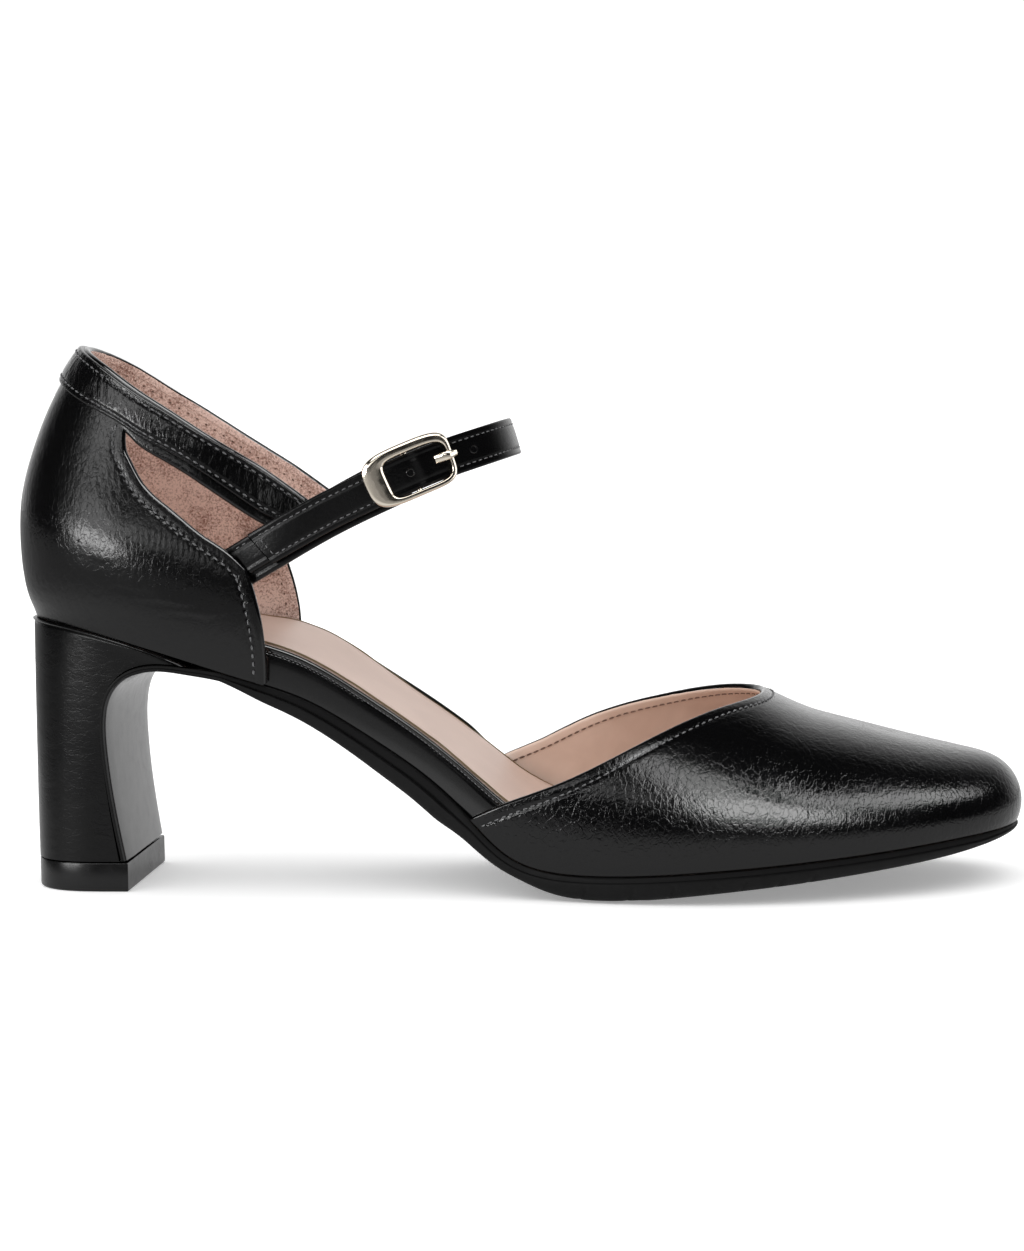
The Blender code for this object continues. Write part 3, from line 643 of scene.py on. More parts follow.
class Shell:
    """Outer face of a leather shell, with its free edges and a raised relief."""

    def __init__(self, grids, buried, relief):
        self.build = sheet(grids)
        self.raise_relief(relief)
        self.tree = BVHTree.FromBMesh(self.build)
        self.runs = self.free_runs(buried)

    def raise_relief(self, relief):
        """Moves the face out along its normals by a function of place."""
        verts = list(self.build.verts)
        points = np.array([v.co for v in verts])
        normals = np.array([v.normal for v in verts])
        moved = points + normals * relief(points)[:, None]
        for vert, place in zip(verts, moved):
            vert.co = place
        self.build.normal_update()

    def sew(self, rows, pitch, depth):
        """Sinks a furrow along rows of stitches, with needle holes, and puffs the leather beside the edge."""
        paths = [path for path, normals in rows]
        line = np.concatenate(paths)
        holes = np.concatenate([on_line(path, np.arange(0.0, lengths(path)[-1], pitch)) for path in paths])
        edge = np.array([v.co for run in self.runs for v in run])

        def relief(points):
            furrow = FURROW_SHARE * hill(nearest(points, line), FURROW_WIDTH)
            pricked = HOLE_SHARE * hill(nearest(points, holes), HOLE_WIDTH)
            return PUFF * hill(nearest(points, edge) - PUFF_INSET, PUFF_WIDTH) - depth * (furrow + pricked)

        self.raise_relief(relief)

    def free_runs(self, buried):
        """Chains of edge vertices that aren't buried in the sole, in order."""
        ways = {}
        for edge in self.build.edges:
            if edge.is_boundary:
                a, b = edge.verts
                if not (buried(a.co) and buried(b.co)):
                    ways.setdefault(a, []).append(b)
                    ways.setdefault(b, []).append(a)
        runs = []
        while ways:
            start = next((v for v, near in ways.items() if len(near) == 1), next(iter(ways)))
            run = [start]
            while True:
                near = ways.get(run[-1], [])
                if not near:
                    break
                step = near[0]
                for a, b in ((run[-1], step), (step, run[-1])):
                    ways[a].remove(b)
                    if not ways[a]:
                        del ways[a]
                run.append(step)
            runs.append(run)
        return runs

    def outward(self, vert):
        """Direction out of the shell across its edge."""
        total = Vector()
        for edge in vert.link_edges:
            if edge.is_boundary:
                a, b = edge.verts
                run = (b.co - a.co).normalized()
                out = (a.co + b.co) / 2 - edge.link_faces[0].calc_center_median()
                out -= run * out.dot(run)
                out -= vert.normal * out.dot(vert.normal)
                total += out.normalized()
        return total.normalized()

    def inset_runs(self, inset, depth=0.0):
        """Lines of points and normals on the shell at a distance inside its free edges."""
        lines = []
        for run in self.runs:
            edge = np.array([v.co for v in run])
            line = []
            for vert in run:
                place, normal = self.tree.find_nearest(vert.co - self.outward(vert) * inset)[:2]
                if np.min(np.linalg.norm(edge - np.array(place), axis=1)) > 0.9 * inset:
                    line.append((place - normal * depth, normal))
            if len(line) > 3:
                lines.append(tuple(np.array(column) for column in zip(*line)))
        return lines

    def roll_edges(self, flap, leather_rows):
        """Rounds the free edges over and turns them in along the inner face, to where the lining starts."""
        probe = self.build.faces[:][0]
        outer = probe.normal.copy()
        for run in self.runs:
            rows = []
            for vert in run:
                out = self.outward(vert)
                row = [vert]
                for angle in ROLL_ANGLES:
                    sunk = vert.normal * (WALL * (1 - math.cos(angle)) / 2)
                    row.append(self.build.verts.new(vert.co + out * (ROLL_BULGE * math.sin(angle)) - sunk))
                row.append(self.build.verts.new(vert.co - vert.normal * (WALL + FLAP_SINK) - out * flap))
                rows.append(row)
            for left, right in zip(rows, rows[1:]):
                for j, face in enumerate(quads(self.build, left, right)):
                    face.material_index = 1 if j < leather_rows else 2
        bmesh.ops.recalc_face_normals(self.build, faces=self.build.faces)
        probe.normal_update()
        if probe.normal.dot(outer) < 0:
            bmesh.ops.reverse_faces(self.build, faces=self.build.faces)

    def piece(self, name, material, inside, slot, nodes):
        """Object from the shell, with leather on its rolled edges and the lining's material inside."""
        for vert in self.build.verts:
            vert.co = (vert.co + Vector(ORIGIN)) * MM
        part = settle(name, self.build, material, nodes)
        part.data.materials.append(EDGE_LEATHER)
        part.data.materials.append(inside)


def lining(name, grids, depth, material):
    """Inner face of a shell, set in by a depth and facing the foot."""
    build = sheet(grids)
    for vert, normal in [(v, v.normal.copy()) for v in build.verts]:
        vert.co = (vert.co - normal * depth + Vector(ORIGIN)) * MM
    bmesh.ops.reverse_faces(build, faces=build.faces)
    return settle(name, build, material, ())


# Materials

BLACK = (0.0014, 0.0014, 0.0016)
EVEN = (1.0, 1.0, 1.0)
LEVEL = (0.0, 0.0, 0.0)
SMOOTH = "SMOOTHSTEP"


def fill(owner, made, inputs):
    """Sets inputs of a node, each to a value or to another node's socket."""
    for key, value in inputs.items():
        if isinstance(value, bpy.types.NodeSocket):
            owner.node_tree.links.new(value, made.inputs[key])
        else:
            made.inputs[key].default_value = value


def node(owner, kind, inputs=None, **settings):
    """New node of a material or of the world."""
    made = owner.node_tree.nodes.new(kind)
    for key, value in settings.items():
        setattr(made, key, value)
    fill(owner, made, inputs or {})
    return made


def ranged(owner, value, low, high, to_low=0.0, to_high=1.0, kind="LINEAR"):
    """Maps one range of a value to another."""
    inputs = {"Value": value, "From Min": low, "From Max": high, "To Min": to_low, "To Max": to_high}
    return node(owner, "ShaderNodeMapRange", inputs, interpolation_type=kind).outputs["Result"]


class Finish:
    """Material in the making: its shader, and the nodes that colour and roughen it."""

    def __init__(self, name, colour, inputs=None):
        self.material = bpy.data.materials.new(name)
        self.material.use_nodes = True
        self.material.diffuse_color = (*colour, 1.0)
        self.surface = self.material.node_tree.nodes["Principled BSDF"]
        self.set({"Base Color": (*colour, 1.0), **(inputs or {})})

    def set(self, inputs):
        fill(self.material, self.surface, inputs)

    def node(self, kind, inputs=None, **settings):
        return node(self.material, kind, inputs, **settings)

    def place(self, stretch=EVEN, turn=LEVEL):
        """Place on the object in millimetres, stretched and turned."""
        coords = self.node("ShaderNodeTexCoord").outputs["Object"]
        scale = [value / MM for value in stretch]
        mapped = self.node("ShaderNodeMapping", {"Vector": coords, "Scale": scale, "Rotation": turn})
        return mapped.outputs["Vector"]

    def waves(self, place, scale, kind="FBM", detail=3.0, distortion=0.4):
        """Noise in waves of about one over the scale."""
        inputs = {"Vector": place, "Scale": scale, "Detail": detail, "Distortion": distortion}
        return self.node("ShaderNodeTexNoise", inputs, noise_type=kind).outputs["Fac"]

    def cells(self, place, scale):
        """Grain of small rounded cells."""
        return self.node("ShaderNodeTexVoronoi", {"Vector": place, "Scale": scale}).outputs["Distance"]

    def roughen(self, place, scale, low, high):
        """Roughness that drifts between two values."""
        self.set({"Roughness": ranged(self.material, self.waves(place, scale), 0.3, 0.7, low, high)})

    def tones(self, value, dark, pale, low=0.35, high=0.65):
        """Colour between two tones by a noise."""
        ramp = self.node("ShaderNodeValToRGB", {"Fac": value})
        for element, position, tone in zip(ramp.color_ramp.elements, (low, high), (dark, pale)):
            element.position = position
            element.color = (*tone, 1.0)
        self.set({"Base Color": ramp.outputs["Color"]})

    def bump(self, *layers):
        """Chain of bumps: each layer is a height, a strength and a distance in millimetres."""
        last = {}
        for height, strength, distance in layers:
            inputs = {"Height": height, "Strength": strength, "Distance": distance * MM, **last}
            last = {"Normal": self.node("ShaderNodeBump", inputs).outputs["Normal"]}
        self.set(last)


def leather(name, rough, depth, stretch=EVEN, turn=LEVEL, gloss=0.4):
    """Black glossy leather with crinkles that run across the stretched axes."""
    finish = Finish(name, BLACK, {"Specular IOR Level": gloss})
    place = finish.place(stretch, turn)
    even = finish.place()
    finish.roughen(even, 0.08, *rough)
    broad = finish.waves(place, 0.4, "RIDGED_MULTIFRACTAL", 3.0, 0.6)
    fine = finish.waves(place, 1.1, "FBM", 3.0, 0.8)
    finish.bump(
        (broad, 0.65 * depth, 0.1),
        (fine, 0.6 * depth, 0.1),
        (veins(finish, place), 0.25 * depth, 0.07),
        (finish.cells(even, 2.6), 0.06, 0.03),
    )
    return finish.material


def veins(finish, place):
    """Narrow winding grooves between small flat cells, as finished leather has where it is crinkled."""
    wander = finish.node("ShaderNodeTexNoise", {"Vector": place, "Scale": 0.9, "Detail": 2.0})
    bend = {0: wander.outputs["Color"], 1: (1.3, 1.3, 1.3), 2: place}
    bent = finish.node("ShaderNodeVectorMath", bend, operation="MULTIPLY_ADD").outputs["Vector"]
    cells = finish.node("ShaderNodeTexVoronoi", {"Vector": bent, "Scale": 0.52}, feature="DISTANCE_TO_EDGE")
    return ranged(finish.material, cells.outputs["Distance"], 0.0, 0.09, kind=SMOOTH)


def rolled_edge(name):
    """Smooth black edge of a turned panel, glossy enough to draw a bright line."""
    finish = Finish(name, BLACK, {"Specular IOR Level": 0.6})
    place = finish.place()
    finish.roughen(place, 0.3, 0.07, 0.14)
    finish.bump((finish.waves(place, 0.5), 0.1, 0.05))
    return finish.material


def patent(name):
    """Black patent leather under a clear coat."""
    finish = Finish(name, (0.002, 0.002, 0.0022), {"Coat Weight": 0.5, "Coat Roughness": 0.08})
    place = finish.place()
    finish.roughen(place, 0.1, 0.12, 0.22)
    finish.bump((finish.waves(place, 0.25), 0.15, 0.1))
    return finish.material


def suede(name):
    """Pink pigskin lining, speckled and cloudy."""
    finish = Finish(name, (0.6, 0.4, 0.34), {"Roughness": 0.85, "Sheen Weight": 0.3, "Sheen Roughness": 0.5})
    place = finish.place()
    speckle = finish.waves(place, 2.1, detail=5.0, distortion=0.5)
    cloud = finish.waves(place, 0.14)
    mixed = finish.node("ShaderNodeMath", {0: cloud, 1: 0.5, 2: speckle}, operation="MULTIPLY_ADD")
    finish.tones(mixed.outputs[0], (0.27, 0.14, 0.105), (0.74, 0.53, 0.45), 0.58, 0.85)
    nap = finish.waves(place, 3.0, detail=4.0)
    finish.bump((nap, 0.4, 0.1), (finish.cells(place, 2.4), 0.25, 0.1))
    return finish.material


def smooth_lining(name, dark, pale, roughness):
    """Plain lining leather in two close tones."""
    finish = Finish(name, pale, {"Roughness": roughness})
    place = finish.place()
    finish.tones(finish.waves(place, 0.06, detail=4.0), dark, pale)
    finish.bump((finish.cells(place, 2.2), 0.12, 0.05), (finish.waves(place, 0.4), 0.12, 0.1))
    return finish.material


def rubber(name, tone, rough, gloss):
    """Black rubber with a fine grain and slow waves."""
    finish = Finish(name, (tone, tone, 1.05 * tone), {"Specular IOR Level": gloss})
    place = finish.place()
    finish.roughen(place, 0.3, *rough)
    finish.bump((finish.waves(place, 4.0), 0.2, 0.03), (finish.waves(place, 0.15), 0.1, 0.15))
    return finish.material


def gold(name, colour, rough):
    """Plated metal with a faint ripple."""
    finish = Finish(name, colour, {"Metallic": 1.0})
    place = finish.place()
    finish.roughen(place, 0.5, *rough)
    finish.bump((finish.waves(place, 1.2), 0.03, 0.05))
    return finish.material


def thread(name, dark, pale, roughness):
    """Twisted thread, with painted shade: its tone is darker between its turns, where the grooves of the
    twist are shaded.
    """
    finish = Finish(name, pale, {"Roughness": roughness})
    inputs = {"Vector": finish.place(), "Scale": 1.1, "Distortion": 1.0}
    twist_and_groove_shade = finish.node("ShaderNodeTexWave", inputs).outputs["Fac"]
    # Painted shade: the dark tone lies in the grooves between the turns, the pale one on their tops.
    finish.tones(twist_and_groove_shade, dark, pale, 0.2, 0.8)
    finish.bump((twist_and_groove_shade, 0.4, 0.06))
    return finish.material


VAMP_LEATHER = leather("vamp_leather_crinkled", (0.1, 0.17), 1.05, (1.2, 1.0, 0.75))
COUNTER_LEATHER = leather("counter_leather_crinkled", (0.16, 0.22), 0.8, (1.3, 1.0, 0.65))
BAND_LEATHER = leather("band_leather_crinkled", (0.12, 0.19), 1.1, (1.4, 1.0, 0.4), (0.0, 0.5, 0.0))
HEEL_LEATHER = leather("heel_leather_crinkled", (0.24, 0.32), 0.55, (0.55, 0.55, 1.2), gloss=0.25)
STRAP_LEATHER = leather("strap_leather_smooth", (0.2, 0.28), 0.45, gloss=0.3)
EDGE_LEATHER = rolled_edge("edge_leather_rolled")
PATENT = patent("footbed_patent_black")
SUEDE = suede("counter_lining_suede")
BEIGE = smooth_lining("vamp_lining_beige", (0.7, 0.51, 0.41), (0.84, 0.64, 0.53), 0.38)
NUDE = smooth_lining("insole_nude", (0.545, 0.4, 0.335), (0.58, 0.43, 0.36), 0.45)
SOLE_RUBBER = rubber("sole_rubber_black", 0.003, (0.5, 0.62), 0.22)
BREAST_RUBBER = rubber("breast_rubber_glossy", 0.006, (0.14, 0.22), 0.6)
LIFT_RUBBER = rubber("lift_rubber_black", 0.004, (0.2, 0.28), 0.4)
GOLD = gold("pale_gold_polished", (0.86, 0.78, 0.66), (0.08, 0.2))
DULL_GOLD = gold("gold_edge_dull", (0.58, 0.45, 0.27), (0.35, 0.5))
# Black thread: the dark tone is its own black, and the pale grey is painted sheen that stands in for the
# glints on its turns.
BLACK_THREAD = thread("thread_black_painted_sheen", (0.02, 0.02, 0.021), (0.19, 0.19, 0.195), 0.25)
NUDE_THREAD = thread("thread_nude", (0.1, 0.055, 0.04), (0.24, 0.145, 0.105), 0.6)


# Sole

LAST_STATION_X = 96.0
SOLE_STATIONS = np.linspace(ARCH_JOIN_X, LAST_STATION_X, 460)
TOE_TURNS = np.linspace(0, math.pi / 2, 61)[1:]
TOE_STATIONS = LAST_STATION_X + (FEATHER_TIP[0] - LAST_STATION_X) * np.sin(TOE_TURNS)
HEEL_SHARES = np.linspace(0.004, 1.0, 60) ** 1.8
BREAST_TOP_Z = 54.0
ARCH_HALF_WIDTH = 25.6
WAIST_BACK_X = -72.0
WAIST_BACK_RUN = 14.0
WAIST_FRONT_X = -9.0
WAIST_FRONT_RUN = 8.0
SEAT_TO_X = -64.0
SEAT_RUN = 8.0


def breast_path(samples):
    """Back face of the outsole in side view, from the top lift to where it joins the arch."""
    rows = list(zip(BREAST.columns["x"], BREAST.columns["z"]))
    ahead = [(x, float(sole_top(x)) - GAP) for x in (ARCH_JOIN_X, ARCH_JOIN_X + 6, ARCH_JOIN_X + 12)]
    path = along(rows + ahead, 1200)
    path = path[:int(np.argmax(path[:, 0] >= ARCH_JOIN_X))]
    tangent = unit(np.gradient(path, axis=0))
    normal = np.stack([tangent[:, 1], -tangent[:, 0]], 1)
    pick = np.linspace(0, len(path) - 1, samples).round().astype(int)
    return path[pick], normal[pick]


def breast_half(z):
    """Half width of the heel breast: as the lift below, as the feather edge at the arch."""
    return np.interp(z, (LIFT_HEIGHT, BREAST_TOP_Z), (LIFT_HALF_WIDTH, ARCH_HALF_WIDTH))


def outsole_profile(thick, waist):
    """Side of the outsole from its top edge down: pairs of inset and depth."""
    none = np.zeros(len(thick))
    band_in = 0.3 + 0.9 * waist
    band_deep = np.minimum(1.4 + 0.8 * waist, 0.36 * thick)
    edge_in = np.minimum(1.5 + 1.6 * waist, 0.4 * thick)
    edge_deep = thick * (1.0 - SOLE_CROWN * (1.0 - waist))
    return [
        (band_in + 6.0, none),
        (band_in + 0.5, none),
        (band_in + 0.1, 0.05 * thick),
        (band_in, 0.14 * thick),
        (band_in, band_deep - 0.05 * thick),
        (band_in, band_deep),
        (0.25 * band_in, band_deep + 0.03 * thick),
        (none, band_deep + 0.07 * thick),
        (none, band_deep + 0.12 * thick),
        (0.1 * edge_in, 0.62 * edge_deep),
        (0.25 * edge_in, 0.76 * edge_deep),
        (0.5 * edge_in, 0.88 * edge_deep),
        (0.85 * edge_in, 0.97 * edge_deep),
        (edge_in + 0.3, edge_deep),
        (edge_in + 6.0, thick),
    ]


SOLE_LAYERS = 15
BEVEL_LAYERS = range(9, 14)
NOTCH_PLACES = (19.2, 30.1, 39.4, 48.7, 55.8, 64.2, 71.6)
NOTCH_LEAN = 0.9
NOTCH_DEPTH = 0.5
NOTCH_WIDTH = 0.55


def waist_share(x):
    """One at the open waist, nothing under the vamp and at the heel."""
    return ease((x - WAIST_BACK_X) / WAIST_BACK_RUN) * ease((WAIST_FRONT_X - x) / WAIST_FRONT_RUN)


def outsole_side(side, layer, rear, rear_normal, x):
    """One side's points of one ring, from the top lift to the toe."""
    base, normal = EDGE.at(side, rear[:, 0])
    join = ease((rear[:, 0] - ARCH_JOIN_X) / JOIN_RUN + 1.0)
    thick = BREAST_THICK + join * (float(SOLE.read("thick", ARCH_JOIN_X)) - BREAST_THICK)
    inset, depth = outsole_profile(thick, np.zeros(len(rear)))[layer]
    half = breast_half(rear[:, 1])
    half = half + join * (np.abs(base[:, 1]) - half) - inset
    place = rear + depth[:, None] * rear_normal
    back = np.stack([place[:, 0], side * half, place[:, 1]], 1)
    base, normal = EDGE.at(side, x)
    inset, depth = outsole_profile(SOLE.read("thick", x), waist_share(x))[layer]
    if layer in BEVEL_LAYERS:
        leaning = x + NOTCH_LEAN * depth
        inset = inset + NOTCH_DEPTH * sum(hill(leaning - notch, NOTCH_WIDTH) for notch in NOTCH_PLACES)
    plan = base - normal * inset[:, None]
    down_x, down_z = sole_normal(plan[:, 0])
    z = np.maximum(sole_top(plan[:, 0]) - GAP + depth * down_z, 0.0)
    front = np.stack([plan[:, 0] + depth * down_x, plan[:, 1], z], 1)
    return np.concatenate([back, front])


def make_outsole():
    rear, rear_normal = breast_path(70)
    x = np.concatenate([SOLE_STATIONS, TOE_STATIONS])
    rings = []
    for layer in range(SOLE_LAYERS):
        lateral = outsole_side(LATERAL, layer, rear, rear_normal, x)
        medial = outsole_side(MEDIAL, layer, rear, rear_normal, x[:-1])
        rings.append(np.concatenate([lateral, medial[::-1]]))
    sole = stack("outsole_dressed", rings, SOLE_RUBBER, ("outsole",))
    sole.data.materials.append(BREAST_RUBBER)
    for face in sole.data.polygons:
        if face.center.x < BREAST_TO_X * MM and face.normal.x > 0.3:
            face.material_index = 1


def full_ring(inset, level, drop, dip=0.0):
    """Ring round the whole foot: inset from the feather edge, at a share of the height less a drop.

    The inner side rises along the waist; a dip of one takes that rise away again towards the ball.
    """
    rear = FEATHER_BACK[0] + HEEL_SHARES * (ARCH_JOIN_X - FEATHER_BACK[0])
    x = np.concatenate([rear[:-1], SOLE_STATIONS, TOE_STATIONS])
    lateral = lifted(*EDGE.at(LATERAL, x), inset, level, drop, 0.0)
    rise = INNER_RISE * (1 - dip * ease((x[:-1] - DIP_FROM_X) / DIP_RUN))
    medial = lifted(*EDGE.at(MEDIAL, x[:-1]), inset, level, drop, rise)
    return np.concatenate([lateral, medial[::-1]])


def lifted(place, normal, inset, level, drop, rise):
    """Points over feather points; they lean out inside the counter and rise along the inner waist."""
    x = place[:, 0]
    spread_out = level * SEAT_SPREAD * ease((SEAT_TO_X - x) / SEAT_RUN) * normal[:, 1] ** 2
    plan = place - normal * (inset - spread_out)[:, None]
    x = plan[:, 0]
    height = FOOTBED.read("thick", x) + rise * waist_share(x)
    return np.stack([x, plan[:, 1], sole_top(x) + level * (height - drop)], 1)


FOOTBED_TOP = INSOLE_THICK + GAP
RIM_ANGLES = np.radians((0, 25, 50, 75, 100, 125, 150))
RIM_WIDE = 0.8
RIM_HIGH = 0.75
RAND_SEAM = Seam(1.1, 0.8, 0.14)
RAND_FROM_X = COUNTER_FRONT_X - 6.0
RAND_TO_X = 12.0
PIPING_RADIUS = 0.24
PIPING_SIDES = 8


def make_footbed():
    """Wrapped board: a smooth side that ends in a rolled rim."""
    rows = [(0.0, 0.0, 0.0), (-0.1, 0.25, 0.0), (-0.1, 0.5, 0.0), (0.0, 0.75, 0.0), (0.1, 0.86, 0.0),
            (0.25, 1.0, 1.0), (0.0, 1.0, 0.75)]
    for angle in RIM_ANGLES:
        rows.append((RIM_WIDE * (0.75 - math.cos(angle)), 1.0, -0.2 - RIM_HIGH * math.sin(angle)))
    rows.append((1.6, 1.0, 0.3))
    rings = [full_ring(FOOTBED_INSET + inset, level, FOOTBED_TOP + drop) for inset, level, drop in rows]
    stack("footbed_dressed", rings, PATENT, ("footbed",))


def make_rand_stitches():
    """Fine sewn row along the rim of the board, where it shows at the open waist."""
    line = full_ring(FOOTBED_INSET - 0.15, 1.0, FOOTBED_TOP + 0.55)
    shown = (line[:, 0] > RAND_FROM_X) & (line[:, 0] < RAND_TO_X)
    rows = []
    for side in (LATERAL, MEDIAL):
        path = line[shown & (line[:, 1] * side > 0)]
        out = np.tile((0.0, 0.9 * side, 0.45), (len(path), 1))
        rows.append((path, out))
    stitches("rand_stitches", rows, RAND_SEAM, BLACK_THREAD)


def make_insole():
    edge = FOOTBED_INSET + INSOLE_RIM + 0.6
    rows = ((0.0, INSOLE_THICK), (0.0, 0.4 * INSOLE_THICK), (0.2, 0.12), (0.7, 0.0), (4.0, 0.1), (9.0, 0.25))
    rings = [full_ring(edge + inset, 1.0, drop, INSOLE_DIP) for inset, drop in rows]
    stack("insole_dressed", rings, NUDE, ("insole",))


def make_insole_piping():
    """Thin gold edge round the insole, a little wavy as it was painted by hand."""
    path = full_ring(FOOTBED_INSET + INSOLE_RIM + 0.65, 1.0, 0.1, INSOLE_DIP)
    path = path + 0.12 * (noise(path, 0.25)[:, None] - 0.5)
    up = np.tile((0.0, 0.0, 1.0), (len(path), 1))
    rings = turned(path, up, PIPING_RADIUS, PIPING_SIDES)
    faces = ring_faces(len(path), PIPING_SIDES, wrap=True)
    piece("insole_edge", rings.reshape(-1, 3), faces, DULL_GOLD)


# Heel

def round_back(distance, radius, power=2.8):
    """Half width share of a rounded back, by distance from its rearmost point."""
    share = np.clip(distance / radius, 0.0, 1.0)
    return (1 - (1 - share) ** power) ** (1 / power)


def mirrored(side):
    """Loop from the outer front, round the back, to the inner front, from the inner side's points."""
    return np.concatenate([side[::-1] * (1, -1, 1), side[1:]])


HEEL_PATH, HEEL_PATH_NORMAL = breast_path(900)
HEEL_POINTS = 70
HEEL_WRINKLES = np.array((0.1, 0.1, 0.42))
HEEL_CRINKLE = 0.03

# Bead round the top of the heel: level and inset
HEEL_BEAD = (
    (0.93, 0.06), (0.936, 0.12), (0.942, 0.02), (0.948, -0.16), (0.956, -0.34), (0.964, -0.4),
    (0.972, -0.32), (0.979, -0.12), (0.985, 0.2), (0.992, 0.6), (1.0, 1.1),
)


def heel_ring(level, inset):
    """One loop of the heel: level 0 lies on the top lift, level 1 on the seat under the counter."""
    tip = int(np.argmax(HEEL_PATH[:, 0] > HEEL_TIP_X))
    path = (HEEL_PATH - HEEL_PATH_NORMAL * GAP)[:tip]
    front = path[int(round(level * (len(path) - 1)))]
    back = LIFT_BACK_X + level * (HEEL_BACK_X - LIFT_BACK_X) + inset
    back_z = LIFT_HEIGHT + GAP + level * (float(sole_top(HEEL_BACK_X)) - LIFT_HEIGHT - 2 * GAP)
    front_z = max(front[1], LIFT_HEIGHT + GAP)
    share = np.linspace(0.0, 1.0, HEEL_POINTS) ** 2
    x = back + share * (front[0] - back)
    straight = back_z + share * (front_z - back_z)
    z = straight + level ** 4 * (1 - share ** 8) * (sole_top(x) - GAP - straight)
    blend = level ** 1.5
    half = (1 - blend) * LIFT_HALF_WIDTH * round_back(x - back, LIFT_ROUND)
    half = half + blend * np.abs(EDGE.at(LATERAL, FEATHER_BACK[0] + x - back)[0][:, 1])
    half = np.maximum(half - inset * ease(share / 0.1), 0.0)
    return mirrored(np.stack([x, half, z], 1))


def make_heel():
    """Block covered in leather, crinkled across, with a bead at its top."""
    levels = [(level, 0.0) for level in np.linspace(0.0, 0.92, 90)]
    levels += HEEL_BEAD
    rings = np.array([heel_ring(level, inset) for level, inset in levels])
    normal = unit(np.cross(np.gradient(rings, axis=1), np.gradient(rings, axis=0)))
    rings = rings - normal * (HEEL_CRINKLE * crinkle(rings, HEEL_WRINKLES))[..., None]
    stack("heel_dressed", rings, HEEL_LEATHER, ("heel",))


def lift_ring(z, inset, count=60):
    share = np.linspace(0.0, 1.0, count) ** 2
    back = LIFT_BACK_X + inset
    x = back + share * (LIFT_FRONT_X - inset - back)
    half = (LIFT_HALF_WIDTH - inset) * round_back(x - back, LIFT_ROUND)
    return mirrored(np.stack([x, half, np.full(count, z)], 1))


def make_top_lift():
    rows = ((0.0, 0.6), (0.08, 0.25), (0.3, 0.05), (0.7, 0.0), (LIFT_HEIGHT - 0.4, 0.0),
            (LIFT_HEIGHT - 0.1, 0.1), (LIFT_HEIGHT, 0.35))
    rings = [lift_ring(z, inset) for z, inset in rows]
    stack("top_lift_dressed", rings, LIFT_RUBBER, ("top_lift",))


# Vamp

SWELL_PEAK = 6.75
THROAT_RUN = 12.0


def spine_x(x):
    """Place on the ridge that a rib from the feather edge runs to; it falls behind round the toe."""
    over = np.maximum(x - SPINE_FROM, 0.0)
    return np.minimum(x, SPINE_FROM) + SPINE_RUN * (1 - np.exp(-over / SPINE_RUN))


def vamp_ribs(side, x, rows):
    """Ribs from the feather edge to the topline or the ridge, as columns of points."""
    base, normal = EDGE.at(side, x)
    spine = spine_x(x)
    shift = RIDGE.read("shift", spine)
    power = RIDGE.read("power", x)[:, None]
    turn = topline_turn(side, x)[:, None] * np.linspace(0.0, 1.0, rows)
    reach = np.cos(turn).clip(0.0) ** (2 / power)
    rise = np.sin(turn) ** (2 / CROWN_POWER)
    swell = SIDE_BULGE * SWELL_PEAK * rise * (1 - rise) ** 2
    at_x = spine[:, None] + (x - spine)[:, None] * reach + normal[:, :1] * swell
    at_y = shift[:, None] + (base[:, 1] - shift)[:, None] * reach + normal[:, 1:] * swell
    low = sole_top(x)[:, None]
    at_z = low + (RIDGE.read("height", at_x) - low) * rise
    return np.stack([at_x, at_y, at_z], -1)


def topline_turn(side, x):
    """How far up its rib the topline lies, as an angle up to a quarter turn at the throat."""
    table = LATERAL_TOPLINE if side == LATERAL else MEDIAL_TOPLINE
    low = sole_top(x)
    rise = np.clip((table.read("z", x) - low) / (RIDGE.read("height", x) - low), 0.0, 1.0)
    turn = np.arcsin(rise ** (CROWN_POWER / 2))
    return np.where(x >= THROAT_X, math.pi / 2, turn)


def vamp_grid(tail_ribs, throat_ribs, toe_ribs, rows):
    """Columns from the outer tail, round the toe, to the inner tail."""
    near = THROAT_X - THROAT_RUN
    closing = near + (THROAT_X - near) * (1 - np.linspace(1.0, 0.0, throat_ribs) ** 2)
    toe = THROAT_X + (FEATHER_TIP[0] - THROAT_X) * np.sin(np.linspace(0, math.pi / 2, toe_ribs))
    columns = []
    for side, tail in ((LATERAL, LATERAL_TAIL_X), (MEDIAL, MEDIAL_TAIL_X)):
        x = np.concatenate([np.linspace(tail, near, tail_ribs)[:-1], closing, toe[1:]])
        columns.append(vamp_ribs(side, x, rows))
    return np.concatenate([columns[0], columns[1][-2::-1]])


CREASE_HEIGHTS = (1.0, 0.7, 0.9, 0.55)
CREASE_DEPTHS = (0.7, 1.0, 0.6, 0.9)


def crease_row(start, end, count, lean, high, width, depth):
    """Row of like creases between two places in side view, each one as high and leaning as given."""
    rows = []
    for k, t in enumerate(np.linspace(0.0, 1.0, count)):
        x = start[0] + t * (end[0] - start[0])
        z = start[1] + t * (end[1] - start[1])
        tall = high * CREASE_HEIGHTS[k % 4]
        deep = depth * CREASE_DEPTHS[k % 4]
        rows.append((x, z + tall / 2, x + lean * tall, z - tall / 2, width, deep))
    return rows


